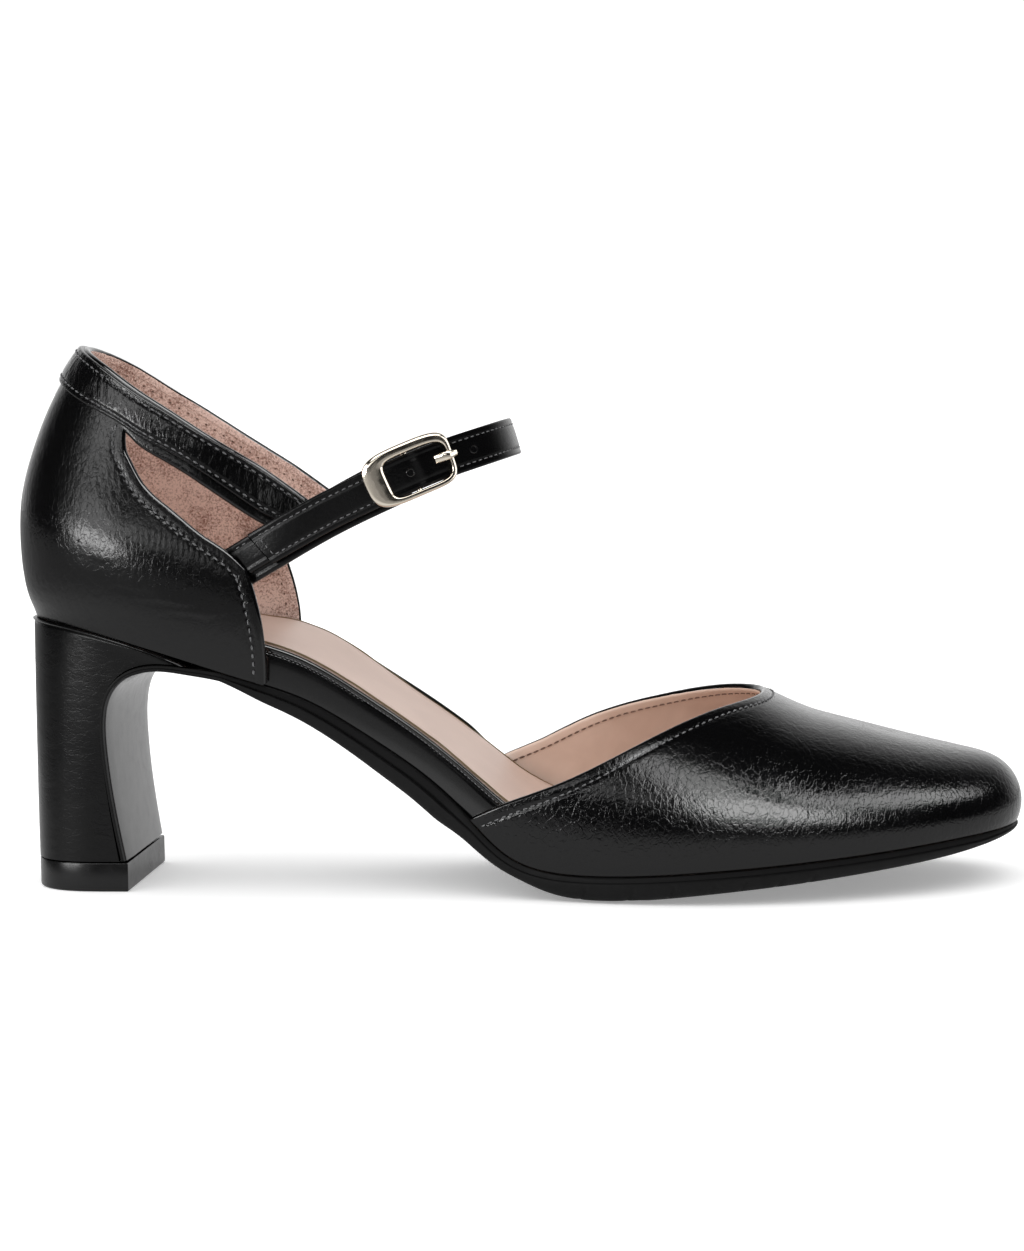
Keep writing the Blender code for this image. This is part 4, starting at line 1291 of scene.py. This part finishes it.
# Main creases of the vamp in side view: upright ones over the ball and towards the toe, slanted ones on top
VAMP_CREASES = (
    crease_row((36.0, 29.5), (62.0, 29.0), 13, -0.25, 12.0, 0.6, 0.03)
    + crease_row((64.0, 28.5), (90.0, 26.5), 18, 0.05, 6.0, 0.45, 0.03)
    + [(58.0, 45.0, 64.0, 41.5, 0.9, 0.05), (67.0, 41.5, 73.0, 38.0, 0.9, 0.05)]
    + [(76.0, 38.0, 84.0, 35.0, 0.9, 0.04)]
)
VAMP_WRINKLES = np.array((0.55, 0.5, 0.4))
LOW_CRINKLE = 0.006
UPPER_CRINKLE = 0.022
CRINKLE_FROM = 8.0
CRINKLE_RUN = 10.0


def vamp_relief(points):
    """Crinkles of the vamp, stronger over the ball, and flat towards the sole."""
    height = points[:, 2] - sole_top(points[:, 0])
    amount = LOW_CRINKLE + UPPER_CRINKLE * ease((height - CRINKLE_FROM) / CRINKLE_RUN)
    return amount * crinkle(points, VAMP_WRINKLES) + creases(points, VAMP_CREASES)


def buried_in_sole(place):
    return place.z < float(sole_top(place.x)) + 0.5


# How each half of the upper is sewn: the row on its leather, the row on its lining, and its turned edge
Sewing = namedtuple("Sewing", "seam inset furrow lining_seam lining_inset lining_sink flap leather_rows")
VAMP_SEWING = Sewing(
    seam=Seam(1.9, 1.15, 0.22), inset=2.3, furrow=0.2,
    lining_seam=Seam(1.9, 1.25, 0.24), lining_inset=1.7, lining_sink=0.06,
    flap=1.5, leather_rows=4,
)
COUNTER_SEWING = Sewing(
    seam=Seam(2.05, 1.2, 0.24), inset=2.4, furrow=0.22,
    lining_seam=Seam(2.6, 0.5, 0.22), lining_inset=2.6, lining_sink=0.02,
    flap=1.2, leather_rows=5,
)
LINING_RISE = 0.12


def make_upper(name, grids, coarse_grids, relief, sewing, material, inside):
    """Leather shell with rolled edges and sewn rows, and the lining inside it."""
    slot = name + "_leather"
    shell = Shell(grids, buried_in_sole, relief)
    outer_rows = shell.inset_runs(sewing.inset)
    inner_rows = shell.inset_runs(sewing.lining_inset, WALL + sewing.lining_sink)
    shell.sew(outer_rows, sewing.seam.pitch, sewing.furrow)
    shell.roll_edges(sewing.flap, sewing.leather_rows)
    shell.piece(name + "_dressed", material, inside, slot, (name,))
    lining(name + "_lining", coarse_grids, WALL - LINING_RISE, inside)
    stitches(name + "_stitches", outer_rows, sewing.seam, BLACK_THREAD)
    stitches(name + "_lining_stitches", inner_rows, sewing.lining_seam, NUDE_THREAD)


def make_vamp():
    grids = [vamp_grid(120, 40, 110, 90)]
    coarse_grids = [vamp_grid(40, 14, 40, 30)]
    make_upper("vamp", grids, coarse_grids, vamp_relief, VAMP_SEWING, VAMP_LEATHER, BEIGE)


# Counter and collar

TUCK_FROM_SHARE = 0.72
TUCK_FROM_HEIGHT = 30.0
TUCK_RISE = 8.0
FOOT_REACH = 0.0593
NOTCH_RUN = 0.06
INNER_END_RUN = 0.1
SHARE_STEP = 0.0005


def counter_points(turn, z):
    """Points on the counter's outer face by height and share; a share below nothing is the inner side."""
    share = np.abs(turn)
    side = np.where(turn < 0, MEDIAL, LATERAL)
    back = BACK_LINE.read("x", z)
    x = back + share * (COUNTER_FRONT_X - back)
    base = FEATHER_BACK[0] + share * (COUNTER_FRONT_X - FEATHER_BACK[0])
    height = z - sole_top(base)
    ahead = ease((share - TUCK_FROM_SHARE) / (1 - TUCK_FROM_SHARE))
    tuck = STRIP_TUCK * ahead * ease((height - TUCK_FROM_HEIGHT) / TUCK_RISE)
    lateral = np.abs(EDGE.at(LATERAL, base)[0][..., 1])
    medial = np.abs(EDGE.at(MEDIAL, base)[0][..., 1])
    half = np.where(turn < 0, medial, lateral) * SWELL.read("share", height) - tuck
    return np.stack([x, side * np.maximum(half, 0.0), np.broadcast_to(z, x.shape)], -1)


def body_top(share):
    """Upper edge of the counter's body: the window's edge, and behind its corner the collar strip."""
    return np.where(share <= CORNER_SHARE, COLLAR.read("strip_low", share), WINDOW_EDGE.read("z", share))


def body_grid(turns, rows):
    """Columns up the counter's body from the feather edge to its upper edge."""
    share = np.abs(turns)[:, None]
    foot = share * (1 + FOOT_REACH * (share / EDGE_SHARE) ** 3)
    foot_z = sole_top(FEATHER_BACK[0] + foot * (COUNTER_FRONT_X - FEATHER_BACK[0]))
    t = np.linspace(0.0, 1.0, rows)[None, :]
    bow = FRONT_BOW * 4 * t * (1 - t) * (share / EDGE_SHARE) ** 6
    at = foot + t * (share - foot) + bow
    sign = np.where(turns < 0, -1.0, 1.0)[:, None]
    return counter_points(sign * at, foot_z + t * (body_top(share) - foot_z))


def strip_low(turns):
    """Lower edge of the collar strip; on the inner side it joins the body as far as the notch."""
    share = np.abs(turns)
    free = COLLAR.read("strip_low", share)
    root = body_top(np.array(INNER_NOTCH_SHARE))
    rising = root + (free - root) * ease((share - INNER_NOTCH_SHARE) / NOTCH_RUN)
    rising = rising + INNER_END_LIFT * ease((share - INNER_END_FROM) / INNER_END_RUN)
    inner = np.where(share < INNER_NOTCH_SHARE + SHARE_STEP, body_top(share), rising)
    return np.where((turns < 0) & (share > CORNER_SHARE), inner, free)


def collar_points(turns, low, t):
    """Points on the counter's face from a lower edge up to the topline, by share of the way."""
    low = low[:, None]
    high = COLLAR.read("topline", np.abs(turns))[:, None]
    z = low + np.asarray(t)[None, :] * (high - low)
    return counter_points(np.broadcast_to(turns[:, None], z.shape), z)


def collar_turns(cells_back, cells_window, cells_front, last):
    """Signed shares from the inner front, round the heel back, to the outer front."""
    back = EDGE.heel_shares(CORNER_SHARE, cells_back + 1)
    window = np.linspace(CORNER_SHARE, INNER_NOTCH_SHARE, cells_window + 1)
    front = np.linspace(INNER_NOTCH_SHARE, last, cells_front + 1)
    share = np.concatenate([back, window[1:], front[1:]])
    return np.concatenate([-share[::-1], share[1:]])


# Main creases of the counter in side view: upright ones, level ones low down, folds at its front edge
COUNTER_CREASES = (
    crease_row((-91.0, 86.5), (-69.0, 81.5), 18, 0.03, 11.0, 0.4, 0.035)
    + crease_row((-106.0, 103.0), (-93.0, 99.0), 9, 0.1, 9.0, 0.45, 0.03)
    + [(-104.0, 80.0, -94.0, 78.5, 0.8, 0.03), (-98.0, 74.0, -82.0, 71.5, 0.8, 0.05),
       (-92.0, 71.0, -74.0, 68.0, 0.8, 0.05), (-86.0, 68.0, -68.0, 65.0, 0.8, 0.04),
       (-64.5, 66.0, -62.0, 56.5, 0.5, 0.08), (-62.8, 66.0, -60.6, 56.5, 0.5, 0.08)]
)
COUNTER_WRINKLES = np.array((0.55, 0.5, 0.35))


def counter_relief(points):
    """Crinkles of the counter."""
    return UPPER_CRINKLE * crinkle(points, COUNTER_WRINKLES) + creases(points, COUNTER_CREASES)


def counter_grids(fine):
    turns = collar_turns(50 * fine, 50 * fine, 14 * fine, EDGE_SHARE)
    strip_turns = collar_turns(50 * fine, 50 * fine, 30 * fine, STRIP_END_SHARE)
    strip_points = collar_points(strip_turns, strip_low(strip_turns), np.linspace(0.0, 1.0, 8 * fine))
    return [body_grid(turns, 36 * fine), strip_points]


def make_counter():
    grids = counter_grids(2)
    coarse_grids = counter_grids(1)
    make_upper("counter", grids, coarse_grids, counter_relief, COUNTER_SEWING, COUNTER_LEATHER, SUEDE)


def band_surface(turns, t, proud):
    """Points and normals over the collar band; t runs from its lower to its upper edge."""
    points = collar_points(turns, COLLAR.read("band_low", np.abs(turns)), t)
    normal = unit(np.cross(np.gradient(points, axis=0), np.gradient(points, axis=1)))
    return points + normal * proud, normal


BAND_STITCH = 0.155
BAND_SEAM = Seam(2.0, 1.2, 0.22)
BAND_LEAN = 0.3
BAND_CROWN = 0.14
BAND_FURROW = 0.2
BAND_FURROW_WIDTH = 0.05
BAND_ROUND = 0.06
BAND_CELLS = 19
BAND_WRINKLES = np.array((0.5, 0.42, 0.16))


def make_collar_band():
    """Padded band with rounded edges, crinkled between its two sewn rows."""
    turns = collar_turns(140, 110, 80, STRIP_END_SHARE)
    quarter = np.linspace(0, math.pi / 2, 6)[1:]
    edge = np.sin(quarter)
    rounded = BAND_ROUND * (1 - np.cos(quarter))
    t = np.concatenate([[0.0], rounded, np.linspace(0.1, 0.9, BAND_CELLS), 1 - rounded[::-1], [1.0]])
    rise = np.concatenate([[0.0], edge, np.ones(BAND_CELLS), edge[::-1], [0.0]])
    margin = hill(t - BAND_STITCH, BAND_FURROW_WIDTH) + hill(t + BAND_STITCH - 1.0, BAND_FURROW_WIDTH)
    swell = BAND_PROUD + BAND_CROWN * np.sin(math.pi * t) + BAND_LEAN * (t - 0.5)
    profile = GAP + swell * rise - BAND_FURROW * margin
    plain, normal = band_surface(turns, t, 0.0)
    inside = ease((t - 0.1) / 0.15) * ease((0.9 - t) / 0.15)
    folds = (0.02 + 0.06 * inside) * crinkle(plain, BAND_WRINKLES)
    outer = plain + normal * (profile + folds * rise)[..., None]
    inner = plain + normal * 0.05
    rings = np.concatenate([outer, inner[:, ::-1]], axis=1)
    stack("collar_band_dressed", rings, BAND_LEATHER, ("collar_band",))
    rows = []
    for at in (BAND_STITCH, 1.0 - BAND_STITCH):
        level = GAP + BAND_PROUD + BAND_LEAN * (at - 0.5)
        line, up = band_surface(turns, (at - 0.01, at, at + 0.01), level)
        rows.append((line[:, 1], up[:, 1]))
    stitches("band_stitches", rows, BAND_SEAM, BLACK_THREAD)


# Strap and buckle

class StrapLine:
    """Frame along the strap: place, direction, upward width and outward normal by length."""

    def __init__(self, samples=1200):
        rows = list(zip(*(STRAP.columns[name] for name in ("x", "half", "z"))))
        lateral = [(x, -half, z) for x, half, z in rows]
        medial = [(x, half, z + STRAP_INNER_RISE * ease((-10.0 - x) / 25.0)) for x, half, z in reversed(rows)]
        self.place = along(lateral + [STRAP_TIP] + medial, samples)
        self.length = lengths(self.place)
        run = unit(np.gradient(self.place, axis=0))
        flat = np.hypot(run[:, 0], run[:, 1])
        out = np.stack([run[:, 1] / flat, -run[:, 0] / flat, STRAP_LEAN * np.abs(run[:, 1])], 1)
        self.out = unit(out - run * np.sum(out * run, axis=1)[:, None])
        self.wide = np.cross(self.out, run)

    def at_x(self, x):
        """Length along the strap of a place on its outer branch."""
        half = len(self.place) // 2
        return float(np.interp(x, self.place[:half, 0], self.length[:half]))

    def field(self, values, s):
        """Rows along the strap, read at length s."""
        return between(s, self.length, values)

    def point(self, s, w, n):
        """Points at length s, w up across the strap and n out from its line."""
        s, w, n = np.broadcast_arrays(s, w, n)
        place = self.field(self.place, s)
        return place + w[..., None] * self.field(self.wide, s) + n[..., None] * self.field(self.out, s)


LINE = StrapLine()
STITCH_MARGIN = 1.6
FOLD_MARGIN = 1.3
STRAP_SEAM = Seam(1.75, 1.1, 0.16)
STITCH_TOP = STRAP_THICK - 0.02
SQUARE = (0.0, 0.0)
FREE_CUT = (FREE_END_SLANT, 0.0)
FOLD_CUT = (FOLD_SLANT, FREE_END_SLANT)


def strap_section(half, thick):
    """Loop of a padded strip's section: pairs of width and height, with sewn furrows near its edges."""
    soft = 0.5
    corner = np.radians(np.linspace(0, 90, 5))
    w = np.linspace(-half + soft, half - soft, 31)
    crown = 0.1 * (1 - (w / half) ** 2) - 0.16 * hill(np.abs(w) - half + STITCH_MARGIN, 0.4)
    top = np.stack([w, thick + crown], 1)
    right = np.stack([half - soft + soft * np.sin(corner), thick - soft + soft * np.cos(corner)], 1)
    left = right[::-1] * (-1, 1)
    low = np.array([(half, 0.25), (half - 0.25, 0.0), (-half + 0.25, 0.0), (-half, 0.25)])
    return np.concatenate([top[1:-1], right, low, left])


def slanted(span, slants, t, w):
    """Lengths along the strap, by share of a span whose ends are cut at slants."""
    cut = slants[0] * (1 - t) ** 6 + slants[1] * t ** 6
    return span[0] + t * (span[1] - span[0]) + cut * w


def strip(node_name, span, half, shift, slants, level, count):
    """Padded strip along the strap line; both its ends may be cut at a slant."""
    section = strap_section(half, STRAP_THICK)
    w, n = section.T[:, None]
    s = slanted(span, slants, np.linspace(0.0, 1.0, count)[:, None], w)
    rings = LINE.point(s, w + shift, n + level(s))
    stack(node_name + "_dressed", rings, STRAP_LEATHER, (node_name,))


def strip_row(span, w, level, slants=SQUARE):
    """Line of points and normals along a strip."""
    s = slanted(span, slants, np.linspace(0.0, 1.0, 400), w)
    return LINE.point(s, w, level(s)), LINE.field(LINE.out, s)


def cross_row(s, slant, half, n):
    """Line of points and normals across a strip."""
    w = np.linspace(-half, half, 40)
    at = s + slant * w
    return LINE.point(at, w, n), LINE.field(LINE.out, at)


TURN_FROM = LINE.at_x(-8.0)
TURN_RUN = 60.0
BAR_LIFT = 0.4
BAR_AHEAD = 2.4
BAR_SPREAD = 1.2


def strap_level(s):
    """Height of the strap over its line: it bends over the buckle's bar and runs inside round the ankle."""
    over_bar = BAR_LIFT * hill(s - BUCKLE_MIDDLE - BAR_AHEAD, BAR_SPREAD)
    return GAP + over_bar - (GAP + STRAP_THICK) * ease((s - TURN_FROM) / TURN_RUN)


def flat_level(n):
    """Strip that lies at one height along the whole strap line."""
    return lambda s: np.full(np.shape(s), n)


def make_straps():
    tab_span = (0.0, BUCKLE_MIDDLE - BAR_HALF - 1.0)
    free_end = LINE.at_x(FREE_END_X)
    fold_span = (LINE.at_x(FOLD_X), free_end - GAP)
    strap_span = (free_end, LINE.length[-1])
    strip("strap_tab", tab_span, TAB_HALF, TAB_SHIFT, SQUARE, flat_level(-STRAP_THICK), 90)
    strip("strap_fold", fold_span, FOLD_HALF, FOLD_SHIFT, FOLD_CUT, flat_level(GAP), 24)
    strip("ankle_strap", strap_span, STRAP_HALF, 0.0, FREE_CUT, strap_level, 420)
    top = flat_level(GAP + STITCH_TOP)
    side = STRAP_HALF - STITCH_MARGIN
    first = free_end + STITCH_MARGIN
    before_buckle = (first, BUCKLE_MIDDLE - BUCKLE_HALF_LONG + 2.0)
    after_buckle = (BUCKLE_MIDDLE + BUCKLE_HALF_LONG - 1.5, strap_span[1])
    rows = []
    for w in (-side, side):
        rows.append(strip_row(before_buckle, w, top, FREE_CUT))
        rows.append(strip_row(after_buckle, w, lambda s: strap_level(s) + STITCH_TOP))
    rows.append(cross_row(first, FREE_END_SLANT, side, GAP + STITCH_TOP))
    fold_side = FOLD_HALF - FOLD_MARGIN
    for w in (FOLD_SHIFT - fold_side, FOLD_SHIFT + fold_side):
        rows.append(strip_row((fold_span[0] + 0.4, fold_span[1] - 1.0), w, top, FOLD_CUT))
    stitches("strap_stitches", rows, STRAP_SEAM, BLACK_THREAD)


def make_strap_holes():
    """Punched holes along the strap, each with a pressed rim and a dark well."""
    angle = np.linspace(0, 2 * math.pi, 28, endpoint=False)
    rows = ((1.05, -0.02), (0.95, 0.1), (0.8, 0.13), (0.68, 0.06), (0.62, -0.1), (0.6, -0.5))
    top = GAP + STRAP_THICK + 0.1
    points = []
    faces = []
    for s in HOLE_PLACES:
        rings = np.array([LINE.point(s + r * np.cos(angle), r * np.sin(angle), top + n) for r, n in rows])
        add_rings(points, faces, rings, (len(rows) - 1,))
    piece("strap_holes", points, faces, EDGE_LEATHER, closed=False)


BUCKLE_LOW = GAP + STRAP_THICK + GAP
BUCKLE_HIGH = BUCKLE_LOW + 1.5
BUCKLE_HALF_LONG = 10.3
BUCKLE_SHIFT = -0.6
BUCKLE_HALF_HIGH = 6.6
PLATE_POWER = 3.4
FRAME_POWER = 4.6
OPENING_CENTRE = 1.4
OPENING_HALF_LONG = 7.1
OPENING_HALF_HIGH = 4.7
OPENING_DROP = 0.55
OPENING_POWER = 4.2
ARC_POWER = 5.5
BAR_HALF = 0.8
PRONG_HALF_WIDE = 1.0
PRONG_HALF_THICK = 0.55
PRONG_FROM = 5.6
PRONG_TO = 10.1
BUCKLE_MIDDLE = LINE.at_x(BUCKLE_X)
HOLE_PLACES = (BUCKLE_MIDDLE - 0.3, BUCKLE_MIDDLE + 15.3)

# Loops of the buckle's section: share of the way from its outline to its opening, and height
BUCKLE_LAYERS = (
    (0.02, 0.1), (0.0, 0.3), (0.0, 0.55), (0.04, 0.85), (0.1, 1.1), (0.18, 1.3), (0.27, 1.43), (0.36, 1.49),
    (0.46, 1.5), (0.62, 1.5), (0.78, 1.5), (0.86, 1.44), (0.93, 1.25), (0.98, 0.95), (1.0, 0.6), (1.0, 0.2),
    (0.98, 0.05), (0.5, 0.0), (0.1, 0.0),
)


def squared(angle, half_long, half_high, power):
    """Points on a rounded rectangle or ellipse, by angle and squareness."""
    c = np.cos(angle)
    s = np.sin(angle)
    return np.stack([half_long * np.sign(c) * np.abs(c) ** (2 / power),
                     half_high * np.sign(s) * np.abs(s) ** (2 / power)], -1)


def make_buckle():
    """Cast frame with bevelled edges: a half-round plate on the left and a squared bar on the right."""
    angle = np.linspace(0, 2 * math.pi, 160, endpoint=False) + 0.01
    power = np.where(np.cos(angle) > 0, FRAME_POWER, PLATE_POWER)
    outer = squared(angle, BUCKLE_HALF_LONG, BUCKLE_HALF_HIGH, power) + (BUCKLE_SHIFT, 0.0)
    power = np.where(np.cos(angle) > 0, OPENING_POWER, ARC_POWER)
    inner = squared(angle, OPENING_HALF_LONG, OPENING_HALF_HIGH, power) + (OPENING_CENTRE, -OPENING_DROP)
    rings = []
    for share, n in BUCKLE_LAYERS:
        flat = outer + share * (inner - outer)
        rings.append(LINE.point(BUCKLE_MIDDLE + flat[:, 0], flat[:, 1] + BUCKLE_RAISE, BUCKLE_LOW + n))
    faces = ring_faces(len(rings), len(angle), wrap=True)
    piece("buckle_dressed", np.reshape(rings, (-1, 3)), faces, GOLD, ("buckle",))


def make_centre_bar():
    """Round bar under the strap that joins the two long sides of the buckle."""
    reach = BUCKLE_HALF_HIGH - 0.6
    w = np.linspace(-reach, reach, 60)
    bend = ease(np.abs(w) - OPENING_HALF_HIGH + 0.3)
    n = -0.85 + bend * (BUCKLE_LOW + 1.2)
    path = LINE.point(BUCKLE_MIDDLE, w + BUCKLE_RAISE, n)
    normals = LINE.field(LINE.out, np.full(60, BUCKLE_MIDDLE))
    stack("buckle_bar", turned(path, normals, 0.7, 16), GOLD)


PRONG_TAPER = 0.35
PRONG_TAPER_RUN = 1.8


def make_prong():
    """Flat tongue that rises out of the window and rests on the frame."""
    rest = BUCKLE_HIGH + 0.1
    path = Table("s n", (PRONG_FROM, BUCKLE_LOW - 0.4), (6.6, BUCKLE_LOW + 0.6), (8.0, rest), (9.4, rest),
                 (PRONG_TO, rest))
    s = np.linspace(PRONG_FROM, PRONG_TO, 50)
    angle = np.linspace(0, 2 * math.pi, 24, endpoint=False)[None, :]
    n = path.read("n", s)[:, None] + PRONG_HALF_THICK
    taper = (1 - PRONG_TAPER * ease((s - PRONG_TO + PRONG_TAPER_RUN) / PRONG_TAPER_RUN))[:, None]
    wide = PRONG_HALF_WIDE * taper * np.cos(angle) + BUCKLE_RAISE
    high = PRONG_HALF_THICK * taper * np.sin(angle)
    rings = LINE.point((BUCKLE_MIDDLE + s)[:, None], wide, n + high)
    stack("buckle_prong_dressed", rings, GOLD, ("buckle_prong",))


# Camera and studio

CAMERA_TARGET = (-3.0, -4.0, 62.0)
CAMERA_FAR = 0.7
CAMERA_TILT = math.radians(5.0)
CAMERA_TURN = math.radians(5.0)
CAMERA_ROLL = math.radians(-0.8)
SENSOR = 36.0
FOCAL_PIXELS = 2905.0
PHOTO_PIXELS = 1251.0


def aim(azimuth, elevation):
    """Direction by its angles: azimuth 0 is towards the front of the studio, the outer side of the shoe."""
    level = math.cos(elevation)
    return Vector((math.sin(azimuth) * level, -math.cos(azimuth) * level, math.sin(elevation)))


def make_camera():
    """Level camera at the outer side of the shoe, a little above it and rolled as in the photo."""
    target = Vector(np.array(CAMERA_TARGET) + ORIGIN) * MM
    back = aim(CAMERA_TURN, CAMERA_TILT)
    camera = bpy.data.objects.new("camera", bpy.data.cameras.new("camera"))
    camera.data.sensor_width = SENSOR
    camera.data.lens = SENSOR * FOCAL_PIXELS / PHOTO_PIXELS
    camera.data.clip_end = 100.0
    place = Matrix.Translation(target + back * CAMERA_FAR)
    roll = Matrix.Rotation(CAMERA_ROLL, 4, "Z")
    camera.matrix_world = place @ back.to_track_quat("Z", "Y").to_matrix().to_4x4() @ roll
    bpy.context.scene.collection.objects.link(camera)
    bpy.context.scene.camera = camera


FLOOR_HALF = 20.0
PAPER = (0.88, 0.88, 0.88)
# Painted shade: the dark grey that the paper turns to in reflections, away from the shoe.
REFLECTED_PAPER_SHADE = (0.05, 0.05, 0.05)
WHITE = (1.0, 1.0, 1.0, 1.0)


def floor_paper():
    """White paper with a painted shade: in reflections alone its colour darkens away from the shoe, standing
    in for the light falling off across a lit table.
    """
    matte = {"Roughness": 0.7, "Specular IOR Level": 0.05, "Emission Color": WHITE, "Emission Strength": 0.28}
    finish = Finish("floor_white_shaded_in_reflections", PAPER, matte)
    coords = finish.node("ShaderNodeTexCoord").outputs["Object"]
    oval = finish.node("ShaderNodeMapping", {"Vector": coords, "Scale": (0.7, 1.0, 1.0)}).outputs["Vector"]
    before = finish.node("ShaderNodeVectorMath", {0: oval, 1: (9.0, 0.0, 9.0)}, operation="MINIMUM")
    away = finish.node("ShaderNodeVectorMath", {0: before.outputs["Vector"]}, operation="LENGTH")
    # Painted shade: in reflections only, the paper darkens with distance from the shoe.
    fade = ranged(finish.material, away.outputs["Value"], 0.14, 0.3, 0.6, 1.0, SMOOTH)
    rays = finish.node("ShaderNodeLightPath").outputs["Is Glossy Ray"]
    share = finish.node("ShaderNodeMath", {0: fade, 1: rays}, operation="MULTIPLY")
    finish.tones(share.outputs[0], PAPER, REFLECTED_PAPER_SHADE, 0.0, 1.0)
    return finish.material


def make_floor():
    mesh = bpy.data.meshes.new("floor")
    corners = [(x * FLOOR_HALF, y * FLOOR_HALF, 0) for x, y in ((-1, -1), (1, -1), (1, 1), (-1, 1))]
    mesh.from_pydata(corners, [], [(0, 1, 2, 3)])
    mesh.materials.append(floor_paper())
    floor = bpy.data.objects.new("floor", mesh)
    bpy.context.scene.collection.objects.link(floor)


VAMP_PLACE = Vector((47.0, -30.0, 30.0)) * MM
COUNTER_PLACE = Vector((-93.0, -22.0, 85.0)) * MM
BUCKLE_PLACE = Vector((-22.0, -30.0, 100.0)) * MM
ON_VAMP = ("vamp_dressed", "vamp_stitches")
ON_EDGES = ("counter_dressed", "collar_band_dressed", "footbed_dressed", "heel_dressed")
ON_METAL = ("buckle_dressed", "buckle_bar", "buckle_prong_dressed")
SOFTBOX_FAR = 0.6

# Softboxes: name, place, then azimuth, elevation, width and height from there, glow, pieces they show in
SOFTBOXES = (
    ("left_box", COUNTER_PLACE, -47.0, 5.5, 28.0, 7.5, 15.0, ()),
    ("left_high_box", COUNTER_PLACE, -46.0, 19.5, 22.0, 13.0, 3.2, ()),
    ("left_side_box", COUNTER_PLACE, -27.0, 16.0, 18.0, 4.0, 4.0, ()),
    ("left_front_box", COUNTER_PLACE, -13.0, 18.5, 22.0, 11.0, 1.4, ()),
    ("front_box", VAMP_PLACE, 18.5, 26.0, 37.0, 18.0, 11.5, ON_VAMP),
    ("front_low_box", VAMP_PLACE, 16.0, 12.0, 22.0, 10.0, 3.0, ON_VAMP),
    ("front_high_box", VAMP_PLACE, 3.0, 44.0, 24.0, 18.0, 5.5, ON_VAMP),
    ("front_top_box", VAMP_PLACE, -25.0, 57.0, 26.0, 12.0, 0.8, ON_VAMP),
    ("right_box", VAMP_PLACE, 66.0, 42.0, 44.0, 15.0, 6.5, ON_VAMP),
    ("top_box", COUNTER_PLACE, 0.0, 64.0, 60.0, 40.0, 8.0, ON_EDGES),
    ("metal_top_box", BUCKLE_PLACE, 0.0, 66.0, 80.0, 44.0, 2.5, ON_METAL),
    ("metal_left_box", BUCKLE_PLACE, -78.0, 0.0, 34.0, 60.0, 4.0, ON_METAL),
    ("metal_right_box", BUCKLE_PLACE, 80.0, 5.0, 60.0, 60.0, 2.0, ON_METAL),
)


def softbox(name, place, azimuth, elevation, wide, high, glow, seen_in):
    """Lamp that shows only in reflections; with pieces to be seen in, it is flagged off from the others."""
    towards = aim(math.radians(azimuth), math.radians(elevation))
    data = bpy.data.lights.new(name, "AREA")
    data.shape = "RECTANGLE"
    data.size = 2 * SOFTBOX_FAR * math.tan(math.radians(wide / 2))
    data.size_y = 2 * SOFTBOX_FAR * math.tan(math.radians(high / 2))
    data.energy = glow * data.size * data.size_y * math.pi
    lamp = bpy.data.objects.new(name, data)
    lamp.location = place + towards * SOFTBOX_FAR
    lamp.rotation_euler = towards.to_track_quat("Z", "Y").to_euler()
    lamp.visible_diffuse = False
    bpy.context.scene.collection.objects.link(lamp)
    if seen_in:
        group = bpy.data.collections.new(name + "_shows")
        for part_name in seen_in:
            group.objects.link(bpy.data.objects[part_name])
        lamp.light_linking.receiver_collection = group


def top_light():
    """Broad soft light from above for the floor, the insole and the linings; it leaves no highlight."""
    data = bpy.data.lights.new("top_light", "SUN")
    data.energy = 1.7
    data.angle = math.radians(100.0)
    lamp = bpy.data.objects.new("top_light", data)
    lamp.rotation_euler = (math.radians(14.0), math.radians(-8.0), 0.0)
    lamp.visible_glossy = False
    bpy.context.scene.collection.objects.link(lamp)


ROOM_WHITE = 1.05
ROOM_DARK = 0.02
ROOM_LIGHT = 0.8


def make_world():
    """White room behind the shoe and a dark one before it, for the leather's reflections."""
    world = bpy.data.worlds.new("studio")
    world.use_nodes = True
    coords = node(world, "ShaderNodeTexCoord").outputs["Generated"]
    behind = node(world, "ShaderNodeSeparateXYZ", {"Vector": coords}).outputs["Y"]
    fade = ranged(world, behind, 0.3, 0.95, ROOM_DARK, ROOM_WHITE, SMOOTH)
    rays = node(world, "ShaderNodeLightPath").outputs
    lit = node(world, "ShaderNodeMix", {"Factor": rays["Is Glossy Ray"], "A": ROOM_LIGHT, "B": fade})
    seen = {"Factor": rays["Is Camera Ray"], "A": lit.outputs["Result"], "B": ROOM_WHITE}
    strength = node(world, "ShaderNodeMix", seen).outputs["Result"]
    fill(world, world.node_tree.nodes["Background"], {"Color": WHITE, "Strength": strength})
    bpy.context.scene.world = world


def make_studio():
    make_camera()
    make_floor()
    make_world()
    top_light()
    for row in SOFTBOXES:
        softbox(*row)
    bpy.context.scene.view_settings.view_transform = "Standard"


make_outsole()
make_footbed()
make_rand_stitches()
make_insole()
make_insole_piping()
make_heel()
make_top_lift()
make_vamp()
make_counter()
make_collar_band()
make_straps()
make_strap_holes()
make_buckle()
make_centre_bar()
make_prong()
make_studio()
